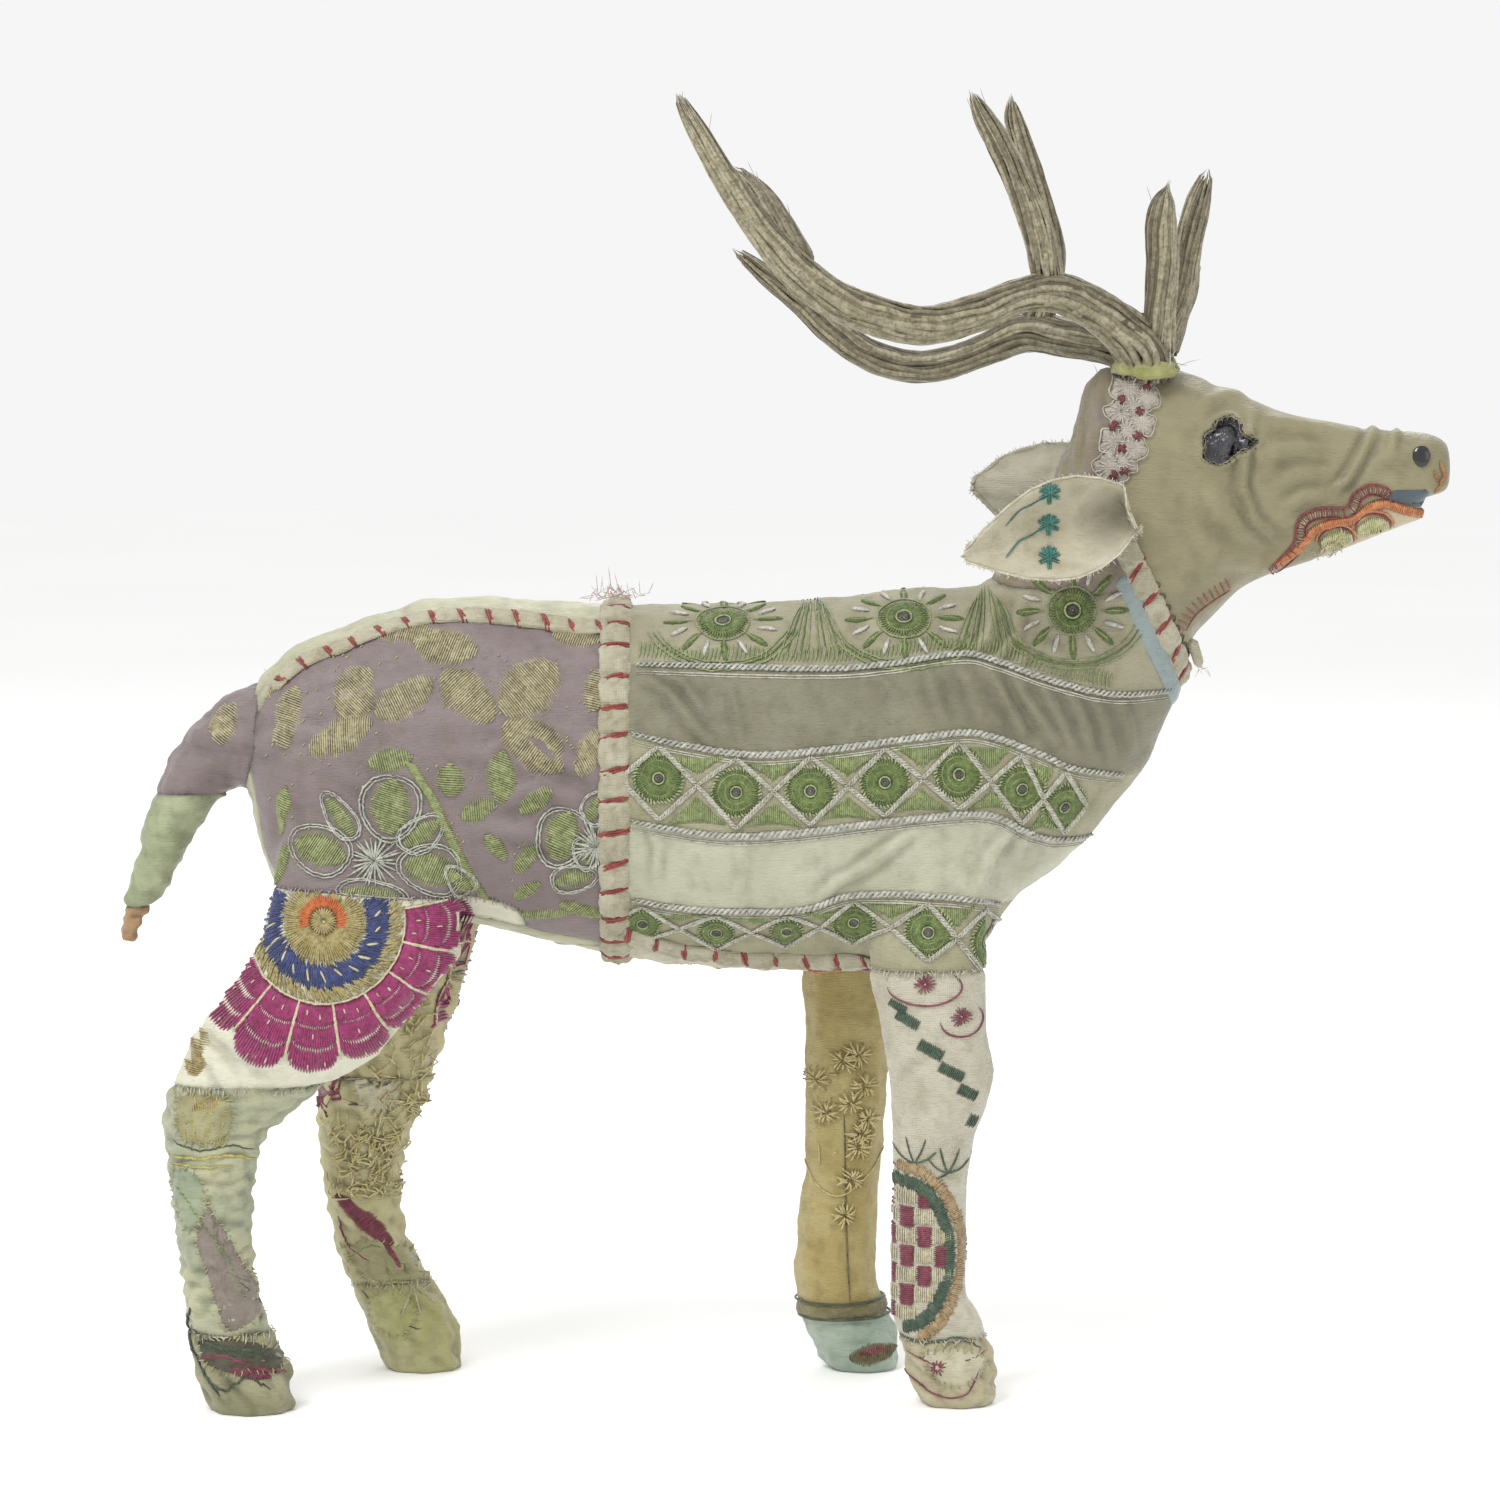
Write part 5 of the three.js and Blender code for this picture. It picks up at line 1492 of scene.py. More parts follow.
def sew_scraps():
    cloths = {
        "mauve": cloth("mauve_scrap", 0x8A7E73, 0x9C9083, 0x6C6253, satin=True, blotch=110),
        "olive": cloth("olive_scrap", 0x989468, 0xB2AD82, 0x75724B, satin=True, blotch=110),
        "teal": cloth("teal_scrap", 0x8E9B7E, 0xA8B192, 0x6B795F, satin=True, blotch=110),
        "cream": cloth("cream_scrap", 0xC9C3A2, 0xD8D3B8, 0xA09A76, blotch=110),
        "dark": cloth("dark_scrap", 0x4B4A39, 0x63604A, 0x322F27, blotch=110),
        "green": cloth("green_scrap", 0xA6A765, 0xBCBB84, 0x7E8048, satin=True, blotch=110),
    }
    w = works("right_shin_cloth", edge=("scrap_edge_threads", 0xB0A878, 0xC6BF94, 0x7C7650),
              loose=("seam_loose_threads", 0xC6BFA4, 0xD9D4BE, 0x968E6E))
    for side in (RIGHT, LEFT):
        name = "right" if side == RIGHT else "left"
        for k, (kind, node, outline) in enumerate(SCRAPS):
            ground = side_cloth(side, node)
            ring = from_corner(node, outline)
            ring = sampled([*ring, ring[0]], 1.1)[:-1]
            ring = ring + RNG.normal(0, 0.22, ring.shape)
            scrap, centre = f"{name}_side_scrap_{k + 1}", ring.mean(0)
            applique(scrap, cloths[kind], ground, centre, ring, lift=0.35, dome=0.15, rim=0.15)
            way = unit(np.roll(ring, -1, 0) - ring)
            inward = -aside(way)
            if np.sum((centre - ring) * inward) < 0:
                inward = -inward
            hem = np.hstack([ring - inward * 0.9, ring + inward * 1.3])[::2]
            sew(w["edge"], ground, hem, 0.4, 0.4, lift=0.4)
        loose_seams(w["loose"], side)
    make_all(w)


def loose_seams(work, side):
    """Short frayed threads where one cloth ends over the next."""
    for node, reach in (("right_fore_cover", 2.2), ("right_hind_shin_cover", 2), ("right_hind_hoof", 1.6),
                        ("right_fore_hoof", 1.6), ("left_hind_hoof", 1.6)):
        fore = node == "right_fore_cover"
        height = corner("flank_cover")[2] - 1 if fore else far_corner(node)[2]
        near = (node, "flank_cover" if fore else "", node.replace("hoof", "cover"),
                node.replace("_hoof", "_shin_cover"))
        nodes = [n for n in near if n in LABELS]
        ground = side_cloth(side, *nodes)
        xs = np.arange(corner(node)[0] + 2, far_corner(node)[0] - 2, 1.2)
        lines = [(x, height + 0.8, x + RNG.normal(0, 1.2),
                  height - reach * RNG.uniform(0.2, 1.3)) for x in xs]
        sew(work, ground, lines, 0.3, 0.3, lift=0.25, arch=0.7)


# Hind legs below the thighs.
def sew_hind_legs():
    w = works(
        "right_shin_cloth",
        green=("shin_green_threads", 0x6F8A4A, 0x8FA566, 0x4C6332),
        yellow=("shin_yellow_seams", 0xB5AC55, 0xCBC478, 0x80782F),
        straw=("hind_straw_threads", 0xCDBE7E, 0xDFD3A0, 0x958648),
        maroon=("hind_maroon_threads", 0x7B2B3C, 0x95445A, 0x521C28),
        dark=("hoof_dark_threads", 0x35422F, 0x4A5940, 0x222B1E),
        pink=("hind_pink_scraps", 0xA85F78, 0xC0849A, 0x7A3F55),
        orange=("hock_orange_threads", 0x9A7040, 0xB78F5C, 0x6B4B28),
    )
    parts = ("shin_cover", "hoof", "thigh_cover")
    near, far = ([f"{name}_hind_{part}" for part in parts] for name, _ in SIDES)
    for side in (RIGHT, LEFT):
        sew_near_shin(w, side_cloth(side, *near))
        sew_far_shin(w, side_cloth(side, *far))
    make_all(w)


def sew_near_shin(w, ground):
    shin = "right_hind_shin_cover"
    couch_rows(
        w, ground, shin,
        ("yellow", 0.8, 0.6, 0.3, 0.12, (2, 54), (10, 53), (20, 54), (29, 52)),
        ("yellow", 0.6, 0.5, 0.3, 0.12, (3, 51), (12, 50.5), (22, 51)),
        ("dark", 0.5, 0.45, 0.2, 0.12, (4, 58), (12, 55.5), (22, 57), (28, 55)),
    )
    line = sampled(from_corner(shin, [(6, 44), (13, 34), (20, 24), (25, 12)]), 1.7)
    sew(w["green"], ground, [(x - 0.9, z + 0.3, x + 0.9, z - 0.6) for x, z in line], 0.5, 0.45, lift=0.3)
    leaf_rows(w, ground, shin, ("orange", 9, 6, 15, 80, 0.7, (14, 69), 0.5, 0.4))
    for _ in range(60):
        x, z = from_corner(shin, [(RNG.uniform(8, 20), RNG.uniform(56, 72))])[0]
        turn = RNG.uniform(0, math.pi)
        stitch = (x, z, x + 2.6 * math.cos(turn), z + 2.6 * math.sin(turn))
        sew(w["yellow"], ground, [stitch], 0.35, 0.35, lift=0.25)
    couch_rows(
        w, ground, shin,
        ("dark", 1.3, 0.8, 0.3, 0.2, (9, 8), (8, 0), (11, -8), (18, -18)),
        ("dark", 1.0, 0.8, 0.35, 0.25, (9, 2), (16, -3), (26, -4), (36, -8)),
        ("maroon", 0.9, 0.7, 0.35, 0.25, (11, -7), (20, -6), (28, -9), (37, -12)),
        ("dark", 0.6, 0.5, 0.3, 0.3, (14, -13), (20, -16), (26, -12), (33, -16)),
    )
    leaf_rows(w, ground, shin, ("dark", 18, 6, -12, 84, 0.6, (20, -4), 0.6, 0.5),
              ("maroon", 13, 4, -14, 84, 0.6, (27, -11), 0.6, 0.5))


def sew_far_shin(w, ground):
    shin = "left_hind_shin_cover"
    leaf_rows(
        w, ground, shin,
        ("maroon", 24, 7, -42, 84, 0.6, (15, 20), 0.7, 0.6),
        ("maroon", 12, 3, -60, 84, 0.6, (23, 10), 0.7, 0.6),
        ("maroon", 16, 4, -84, 84, 0.6, (0, 62), 0.7, 0.6),
    )
    couch_rows(w, ground, shin, ("maroon", 0.6, 0.5, 0.3, 0.2, (7, 21), (10, 12), (18, 7)))
    leaf_rows(
        w, ground, shin,
        ("pink", 12, 7, 40, 80, 0.7, (12, 96), 0.6, 0.5),
        ("pink", 9, 6, 70, 80, 0.7, (6, 88), 0.6, 0.5),
        ("pink", 7, 5, 20, 80, 0.7, (15, 90), 0.6, 0.5),
    )
    for low, high, left, right, count in ((26, 50, 4, 26, 150), (50, 98, 18, 34, 110)):
        for _ in range(count):
            x, z = from_corner(shin, [(RNG.uniform(left, right), RNG.uniform(low, high))])[0]
            turn = RNG.normal(1.2, 0.8)
            long = RNG.uniform(3, 7)
            stitch = (x, z, x + long * math.cos(turn), z + long * math.sin(turn))
            sew(w["straw"], ground, [stitch], 0.55, 0.55, lift=0.4, arch=0.8)
    couch_rows(w, ground, shin, ("green", 0.6, 0.5, 0.3, 0.2, (10, 8), (18, 12), (26, 6)),
               ("dark", 0.5, 0.4, 0.2, 0.2, (14, -2), (22, -10), (32, -14)))



# Tapes: rolled cloth strips, pinched by red whip stitches.
def wandering(gone, seed):
    """A slow uneven wave along a length, between about -1 and 1."""
    rng = np.random.default_rng(seed)
    total = np.zeros_like(gone)
    for length in (23, 11, 6.1, 3.7):
        total += np.sin(gone * 2 * math.pi / length + rng.uniform(0, 6.3)) * length ** 0.4
    return total / 7


def lengths_along(points):
    return np.concatenate([[0], np.cumsum(np.linalg.norm(np.diff(points, axis=0), axis=1))])


def even_path(points, normals, pitch=0.5, rounds=60):
    gone = lengths_along(points)
    at = np.arange(0, gone[-1], pitch)
    path = np.stack([np.interp(at, gone, points[:, k]) for k in range(3)], 1)
    normal = np.stack([np.interp(at, gone, normals[:, k]) for k in range(3)], 1)
    for _ in range(rounds):
        for line in (path, normal):
            line[1:-1] = (line[:-2] + 2 * line[1:-1] + line[2:]) / 4
    return path, unit(normal)


def belt(centre, down, across, start, end, *nodes, count=150, away=95):
    """Where a flat loop round a place meets the skin."""
    tree = tree_of(*nodes)
    points, normals = [], []
    for turn in np.radians(np.linspace(start, end, count)):
        outward = math.cos(turn) * np.array(down) + math.sin(turn) * np.array(across)
        outside = np.array(centre) + outward * away
        hit, normal, _, _ = tree.ray_cast(outside.tolist(), (-outward).tolist(), away)
        if hit is not None:
            points.append(hit)
            normals.append(normal)
    return even_path(np.array(points), np.array(normals))


def tape(name, material, slot, path, normals, width, thick, stitches=(), red=None, replaces=(), ridges=6,
         lean=1.2):
    """A rolled tape along a path on the skin, with its whip stitches at places along it."""
    sides = 30
    along = unit(np.gradient(path, axis=0))
    across = unit(np.cross(along, normals))
    upward = np.cross(across, along)
    gone = lengths_along(path)
    near = np.min([np.abs(gone - s) for s in stitches], axis=0) if len(stitches) else np.full(len(gone), 99.0)
    pinch = np.exp(-((near / 1.0) ** 2))
    seed = len(name) + int(width * 10)
    rounded = np.clip(np.minimum(gone, gone[-1] - gone) / 1.6, 0.02, 1) ** 0.5
    wide = width / 2 * (1 - 0.12 * pinch + 0.07 * wandering(gone, seed)) * rounded
    high = thick * (1 - 0.5 * pinch + 0.16 * wandering(gone, seed + 1)) * rounded
    turn = np.arange(sides) * 2 * math.pi / sides
    slip = 3.2 * wandering(gone, seed + 2)[:, None]
    ridge = 0.13 * np.sin(ridges * turn[None] + slip) + 0.07 * np.sin(ridges * 2.3 * turn[None] - slip * 1.7)
    s = np.sin(turn)[None]
    rise = np.where(s > 0, high[:, None] * np.abs(s) ** 0.72 * (1 + ridge), -0.5 * np.abs(s))
    edge = 1 + 0.04 * wandering(gone, seed + 3)[:, None] * np.sign(np.cos(turn))[None]
    ring = path[:, None] + across[:, None] * (np.cos(turn)[None, :, None] * (wide[:, None] * edge)[..., None])
    ring = ring + upward[:, None] * rise[..., None]
    steps = len(path)
    faces = [f[:, ::-1] for f in tube_faces(1, steps, sides)]
    piece = mesh_object(name, ring.reshape(-1, 3), faces, material)
    finish_piece(piece, replaces=replaces)
    if red is None:
        return
    for s0 in stitches:
        i = int(np.searchsorted(gone, s0).clip(2, steps - 3))
        u = np.linspace(-1.14, 1.14, 13)
        tall = np.where(np.abs(u) < 1, high[i] * np.maximum(1 - u ** 2, 0) ** 0.42 + 0.42, -0.15)
        tilt = RNG.uniform(0.5, 1.3) * lean
        for shift in (-0.42, 0.42):
            line = path[i] + across[i] * (u * wide[i])[:, None] + upward[i] * tall[:, None]
            line = line + along[i] * (shift + tilt * u * RNG.uniform(0.7, 1.2))[:, None]
            out = across[i] * u[:, None] * 0.9 + upward[i]
            red.add(line[None], unit(out)[None], 0.95, 0.75, taper=0.5)


def hairs(work, at, spread, length, count, out, width=0.2):
    """Loose frayed threads round a place."""
    for _ in range(count):
        start = np.array(at) + RNG.normal(0, 1, 3) * np.array(spread)
        way = unit(np.array(out, float) + RNG.normal(0, 0.8, 3))
        bend = RNG.normal(0, 0.4, 3)
        t = np.linspace(0, 1, 7)[:, None]
        line = start + way * t * length * RNG.uniform(0.4, 1.2) + bend * t * t * length * 0.5
        work.add(line[None], np.tile(unit(np.cross(way, (0.3, 0.2, 0.9))), (1, 7, 1)), width, width)


def sew_tapes():
    rolled = cloth("rolled_cotton", 0xB4AD92, 0xC7C1A9, 0x958C6C, thread=0.7, weave=0.06, blotch=90)
    ribbon = cloth("blue_ribbon", 0x8B9C9C, 0x9EACA9, 0x6E7D7B, thread=0.5, satin=True)
    olive = cloth("olive_cuff", 0x77714E, 0x918A63, 0x4A3E37, thread=0.6)
    red = Needlework("red_whip_stitches", thread("red_thread", 0x8E322A, 0xA84A3C, 0x5E1F1B), "tape_cotton")
    fray = Needlework("tape_fray", thread("cream_fray", 0xC2BBA2, 0xD6D0B8, 0x938B70), "tape_cotton")
    pink = Needlework("girth_fray", thread("pink_fray", 0xAE7474, 0xC99695, 0x7D3F42), "tape_cotton")

    def whipped(name, node, path, normals, width, thick, first, pitch, **shape):
        marks = np.arange(first, lengths_along(path)[-1], pitch)
        tape(name, rolled, "tape_cotton", path, normals, width, thick, marks, red, [node], **shape)

    x, _, z = middle("girth_tape")
    path, normals = belt((x, 0, z), (0, 0, -1), (0, 1, 0), -180, 181)
    total = lengths_along(path)[-1]
    marks = np.arange(5, total - 3, 9.4) + RNG.uniform(-0.7, 0.7, len(np.arange(5, total - 3, 9.4)))
    tape("girth_roll", rolled, "tape_cotton", path, normals, 9.6, 2.6, marks, red, ["girth_tape"])
    top = (x, -4, far_corner("girth_tape")[2])
    hairs(pink, top, (3.5, 6, 0.6), 6, 26, (0, -0.6, 0.7))
    hairs(fray, top, (4, 6, 0.6), 6, 34, (0, -0.6, 0.7))

    low, high = corner("spine_tape"), far_corner("spine_tape")
    ground = tree_of("right_rump_cover", "left_rump_cover", "tail_root_cover")
    y = (low[1] + high[1]) / 2 - 1.5
    points, normals = cast_down(ground, [(x0, y, 300) for x0 in np.linspace(low[0] - 2, high[0] + 4, 80)])
    path, normals = even_path(points, normals)
    whipped("spine_roll", "spine_tape", path, normals, 6.2, 2.2, 3, 8.3)
    hairs(fray, path[2], (1, 1, 1), 5, 10, (-1, 0, 0))

    low, high = corner("belly_tape"), far_corner("belly_tape")
    ground = tree_of("flank_cover", "belly_panel")
    line = sampled([(low[0] - 4, -19, high[2] + 3), (low[0] + 14, -18, low[2] + 5),
                    (high[0] - 30, -17.5, low[2] + 2),
                    (high[0] + 3, -17, low[2] + 2)], 1.5)
    found = [ground.find_nearest(p.tolist())[:2] for p in line]
    path, normals = even_path(np.array([p for p, _ in found]), np.array([n for _, n in found]))
    whipped("belly_roll", "belly_tape", path, normals, 6.4, 2.6, 3, 9.2)
    hairs(fray, path[-3], (1, 1, 1), 5, 12, (1, -0.5, 0))

    down = unit(np.array((22.5, 0.0, -47.9)))
    centre = np.array((110.5, 0.4, 240.0))
    path, normals = belt(centre, down, (0, 1, 0), -141, 141)
    whipped("collar_roll", "collar_tape", path, normals, 8.0, 1.9, 4, 9.6, lean=2.2)
    behind = np.array((-47.9, 0, -22.5)) / 52.9
    path, normals = belt(centre + behind * 4.6, down, (0, 1, 0), -120, 120)
    tape("collar_ribbon_band", ribbon, "ribbon_silk", path, normals, 6.0, 0.8, replaces=["collar_ribbon"],
         ridges=2)
    edge = Needlework("collar_edge_thread", thread("dark_edge_thread", 0x4E4030, 0x6B5A43, 0x2E251B),
                      "tape_cotton")
    path, normals = belt(centre - behind * 3.9, down, (0, 1, 0), -112, 112)
    gone = lengths_along(path)
    across = unit(np.cross(np.gradient(path, axis=0), normals))
    wave = across * (0.9 * np.sin(gone * 2 * math.pi / 4.1))[:, None]
    edge.add((path + normals * 0.5 + wave)[None], normals[None], 0.55, 0.55)

    low, high = corner("throat_tab"), far_corner("throat_tab")
    at = (low + high) / 2
    t = np.linspace(0, 1, 24)[:, None]
    throat = tree_of("face_cover", "flank_cover", "neck_cover")
    start = np.array(throat.ray_cast((200, at[1], high[2]), (-1, 0, 0), 200)[0])
    line = (start - (0.6, 0, 0)) * (1 - t) + (start + (2.6, -0.8, low[2] - high[2] + 4)) * t
    tape("throat_tab_fold", rolled, "tape_cotton", line, np.tile((0.75, -0.6, 0.2), (24, 1)), 4.4, 1.5,
         replaces=["throat_tab"], ridges=3)
    hairs(fray, line[-1], (0.8, 0.8, 0.5), 3, 9, (0.5, 0, -1))

    x, y, z = middle("left_fore_cuff")
    leg = ("left_fore_cover", "left_fore_hoof")
    path, normals = belt((x, y, z), (0, -1, 0), (1, 0, 0), -180, 181, *leg, away=30)
    tape("fore_cuff_roll", olive, "cuff_cloth", path, normals, 6.0, 1.7, replaces=["left_fore_cuff"],
         ridges=4)
    hem = Needlework("cuff_hem", thread("cuff_thread", 0x3E4A35, 0x58664B, 0x262D20), "cuff_cloth")
    for shift in (-2.6, 2.4):
        path, normals = belt((x, y, z + shift), (0, -1, 0), (1, 0, 0), -180, 181, *leg, away=30)
        hem.add((path + normals * 1.3)[None], normals[None], 0.8, 0.7)
    for work in (red, fray, pink, edge, hem):
        work.made()


def cast_down(tree, places):
    found = [tree.ray_cast(p, (0, 0, -1), 200)[:2] for p in places]
    found = [(p, n) for p, n in found if p is not None]
    return np.array([p for p, _ in found]), np.array([n for _, n in found])


# Antlers: silk floss laid lengthwise over twigs. Each row is reach back, reach out, height and radius,
# all in percent.
ANTLERS = {
    "right": [
        [(0, 25, -10.5, 150), (-0.7, 26.2, 1.3, 150), (-8.3, 37.5, 14.5, 116), (-15.6, 48.8, 22.4, 108),
         (-21.4, 57.5, 25.7, 106), (-28.9, 67.5, 23.7, 90), (-37.3, 77.5, 17.8, 98), (-48.2, 87.5, 13.2, 102),
         (-58, 95, 16.3, 104), (-68, 98.8, 23.7, 102), (-76.4, 100, 35.5, 96), (-83.8, 96.2, 51.1, 82),
         (-91.3, 88.8, 70.7, 68), (-97.2, 81.2, 88.8, 56), (-100.4, 77.5, 99.3, 32)],
        [(-21.4, 57.5, 28.9, 92), (-23.9, 55, 48, 86), (-28.1, 50, 67.6, 76), (-32.2, 46.2, 82.8, 70),
         (-35.6, 42.5, 93.3, 56), (-37.7, 41.2, 100.7, 28)],
        [(-74.3, 95, 35.5, 84), (-80.5, 82.5, 52.6, 90), (-84.7, 73.8, 63.2, 78), (-88.4, 67.5, 71.4, 44)],
        [(2.5, 28.7, 1.3, 92), (2.7, 31.2, 17.8, 82), (3.1, 33.8, 35.9, 82), (2.7, 35, 51.1, 80),
         (3.1, 35, 60.1, 60), (3.9, 35, 65.3, 18)],
    ],
    "left": [
        [(0, 25, -10.5, 130), (-1.4, 26.2, 0, 130), (-8.3, 35, 3.9, 112), (-16.3, 46.2, 5.3, 104),
         (-24.8, 56.2, 7.2, 104), (-34.8, 67.5, -0.3, 86), (-43.1, 76.2, -5.7, 88), (-51.4, 82.5, -6.6, 86),
         (-59.8, 87.5, -1.8, 86), (-67.2, 90, 7.2, 82), (-74.7, 90, 19.3, 68), (-82.2, 87.5, 29.9, 56),
         (-88, 85, 38.2, 30)],
        [(-23.2, 55, 9.2, 92), (-20.7, 57.5, 26.3, 84), (-19.9, 57.5, 40.8, 80), (-22.2, 55, 57.9, 74),
         (-25.6, 51.2, 77.6, 64), (-28.1, 48.8, 92.1, 52), (-28.6, 47.5, 98.7, 26)],
        [(4.7, 30, 0, 84), (8.5, 35, 23.7, 72), (10.1, 38.8, 42.1, 74), (12.2, 42.5, 58.7, 68),
         (13.9, 45, 69.1, 40)],
        [(6, 33, 3, 56), (7.6, 42, 12, 56), (10.1, 50, 24, 56), (11.8, 55, 35.5, 30)],
    ],
}


def wrap_antlers():
    shades = (("light", 0x938A6C, 0xB8AF92, 0x665E46), ("middle", 0x7A7156, 0x978E72, 0x524A36),
              ("dark", 0x59513A, 0x756C50, 0x3A3424))
    pegs = (middle("right_antler_peg") + middle("left_antler_peg")) / 2
    base = np.array((pegs[0], pegs[1], corner("right_antler_peg")[2] + 18))
    for side, sign in SIDES:
        nodes = [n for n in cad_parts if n.startswith(side) and ("tine" in n or "beam" in n)]
        flosses = [Needlework(f"{side}_antler_floss_{k}", thread(f"{side}_{k}_floss", *tones, gloss=0.42),
                              "antler_silk")
                   for k, *tones in shades]
        core = Needlework(f"{side}_antler_twigs", thread(f"{side}_twig_bark", 0x6B6149, 0x80755A, 0x484030),
                          "antler_silk")
        for rows in ANTLERS[side]:
            knots = [(base[0] + back * 1.38, base[1] + sign * out * 0.4, base[2] + up * 0.76, r * 0.053)
                     for back, out, up, r in rows]
            wrap_twig(flosses, core, np.array(knots))
        core.made(nodes)
        for work in flosses:
            work.made()


def wrap_twig(flosses, core, knots):
    line = sampled(knots, 1.1)
    way = unit(line[-1, :3] - line[-3, :3])
    beyond = [(*(line[-1, :3] + way * k * 0.9), line[-1, 3] * (0.8 - 0.2 * k)) for k in (1, 2, 3)]
    line = np.concatenate([line, beyond])
    path, radius = line[:, :3], np.maximum(line[:, 3], 0.35)
    along = unit(np.gradient(path, axis=0))
    normal = unit(np.cross(along[0], (0.2, 0.9, 0.3)))
    frames = []
    for way in along:
        normal = unit(normal - way * np.dot(normal, way))
        frames.append(normal)
    normal = np.array(frames)
    side = np.cross(along, normal)
    core.add(path[None, :-4], normal[None, :-4], radius[:-4] * 1.74, radius[:-4] * 1.74)
    gone = lengths_along(path)
    for k in range(FLOSS_STRANDS):
        drift = wandering(gone * 0.3, int(RNG.integers(1e6)))
        turn = 2 * math.pi * k / FLOSS_STRANDS + 0.9 * gone / gone[-1] + 0.12 * drift
        out = normal * np.cos(turn)[:, None] + side * np.sin(turn)[:, None]
        lift = RNG.uniform(0.88, 0.99) + 0.03 * wandering(gone * 0.6, int(RNG.integers(1e6)))
        strand = path + out * (radius * lift)[:, None]
        stop = len(path) - int(RNG.integers(0, 6))
        start = int(RNG.integers(0, 3))
        if RNG.random() < 0.16:
            stop = int(len(path) * RNG.uniform(0.35, 0.95))
        width = 2 * math.pi * radius / FLOSS_STRANDS * RNG.uniform(1.5, 2.4)
        which = RNG.choice(3, p=(0.42, 0.36, 0.22))
        kept = slice(start, stop)
        flosses[which].add(strand[None, kept], out[None, kept], width[kept], width[kept] * 0.8)
    for _ in range(12):
        i = int(RNG.integers(2, len(path) - 4))
        way = unit(along[i] + RNG.normal(0, 0.35, 3))
        t = np.linspace(0, 1, 6)[:, None]
        turn = RNG.uniform(0, 6.3)
        start = path[i] + (normal[i] * math.cos(turn) + side[i] * math.sin(turn)) * radius[i]
        hair = start + way * t * RNG.uniform(3, 7) + RNG.normal(0, 0.5, 3) * t * t
        flosses[0].add(hair[None], np.tile(normal[i], (1, 6, 1)), 0.16, 0.16)


# Ears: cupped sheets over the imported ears' outer side, riding with them.
def ear_surface(node, sign, across=46, along=70):
    points, faces = welded(node)
    tree = BVHTree.FromPolygons(points.tolist(), faces.tolist())
    a = points[faces].reshape(-1, 3)
    b = points[np.roll(faces, 1, axis=1)].reshape(-1, 3)
    low, high = points[:, 0].min() + 0.15, points[:, 0].max() - 0.15
    share = (1 - np.cos(np.linspace(0, math.pi, along))) / 2
    grid = []
    for x in low + (high - low) * share:
        crossing = (a[:, 0] - x) * (b[:, 0] - x) < 0
        t = ((x - a[:, 0]) / np.where(crossing, b[:, 0] - a[:, 0], 1))[crossing][:, None]
        cut = a[crossing] * (1 - t) + b[crossing] * t
        z0, z1 = cut[:, 2].min() + 0.1, cut[:, 2].max() - 0.1
        row = []
        for z in np.linspace(z0, z1, across):
            hit, _ = cast_sideways(tree, x, z, sign)
            if hit is None:
                hit = tree.find_nearest((x, sign * 40, z))[0]
            row.append(hit)
        grid.append(row)
    grid = np.array(grid)
    for _ in range(6):
        grid[1:-1, 1:-1] = (grid[1:-1, 1:-1] * 2 + grid[:-2, 1:-1] + grid[2:, 1:-1] + grid[1:-1, :-2]
                            + grid[1:-1, 2:]) / 6
    return grid


def make_ears():
    silk = cloth("ear_silk", 0xC3BBA0, 0xD3CCB4, 0xA39876, thread=0.5, blotch=70)
    lace_ground = cloth("ear_lace_ground", 0xB9B49D, 0xCFCBB8, 0x969077, thread=0.6, blotch=70)
    for side, sign, ground in (("right", RIGHT, silk), ("left", LEFT, lace_ground)):
        node = side + "_ear"
        grid = ear_surface(node, sign)
        rows, columns = grid.shape[:2]
        u = np.linspace(0, 1, rows)[:, None]
        v = np.linspace(-1, 1, columns)[None]
        ripple = 0.35 * np.sin(9 * u + 2 * v) * (1 - v * v)
        ripple = ripple + 0.25 * np.sin(23 * u + 5 * v) + 0.16 * np.sin(41 * u * v)
        grid[..., 1] += sign * ripple
        curl = np.abs(v) ** 9 * 0.9 * np.sin(31 * u + 4 * v)
        grid[..., 1] += sign * curl * 0.6
        cup = 4.5 * np.abs(v) ** 2.4 * np.exp(-(((u - 0.8) / 0.22) ** 2)) + 2.0 * (u > 0.9) * (u - 0.9) / 0.1
        grid[..., 1] += sign * cup
        faces = grid_faces(rows, columns)
        faces = faces[:, ::-1] if sign == LEFT else faces
        piece = mesh_object(node + "_leaf", grid.reshape(-1, 3), faces, ground)
        # Painted shade in the ear's cupped hollow near the root, darkest at its middle.
        hollow_shade = np.broadcast_to(0.9 * np.clip(1 - ((u - 0.8) / 0.22) ** 2 - (v * 1.1) ** 2, 0, 1),
                               (rows, columns))
        set_painted_shade(piece, hollow_shade.ravel())
        thicken(piece, EAR_THICKNESS)
        finish_piece(piece, node, [node])
        trim_ear(side, node, grid, sign)


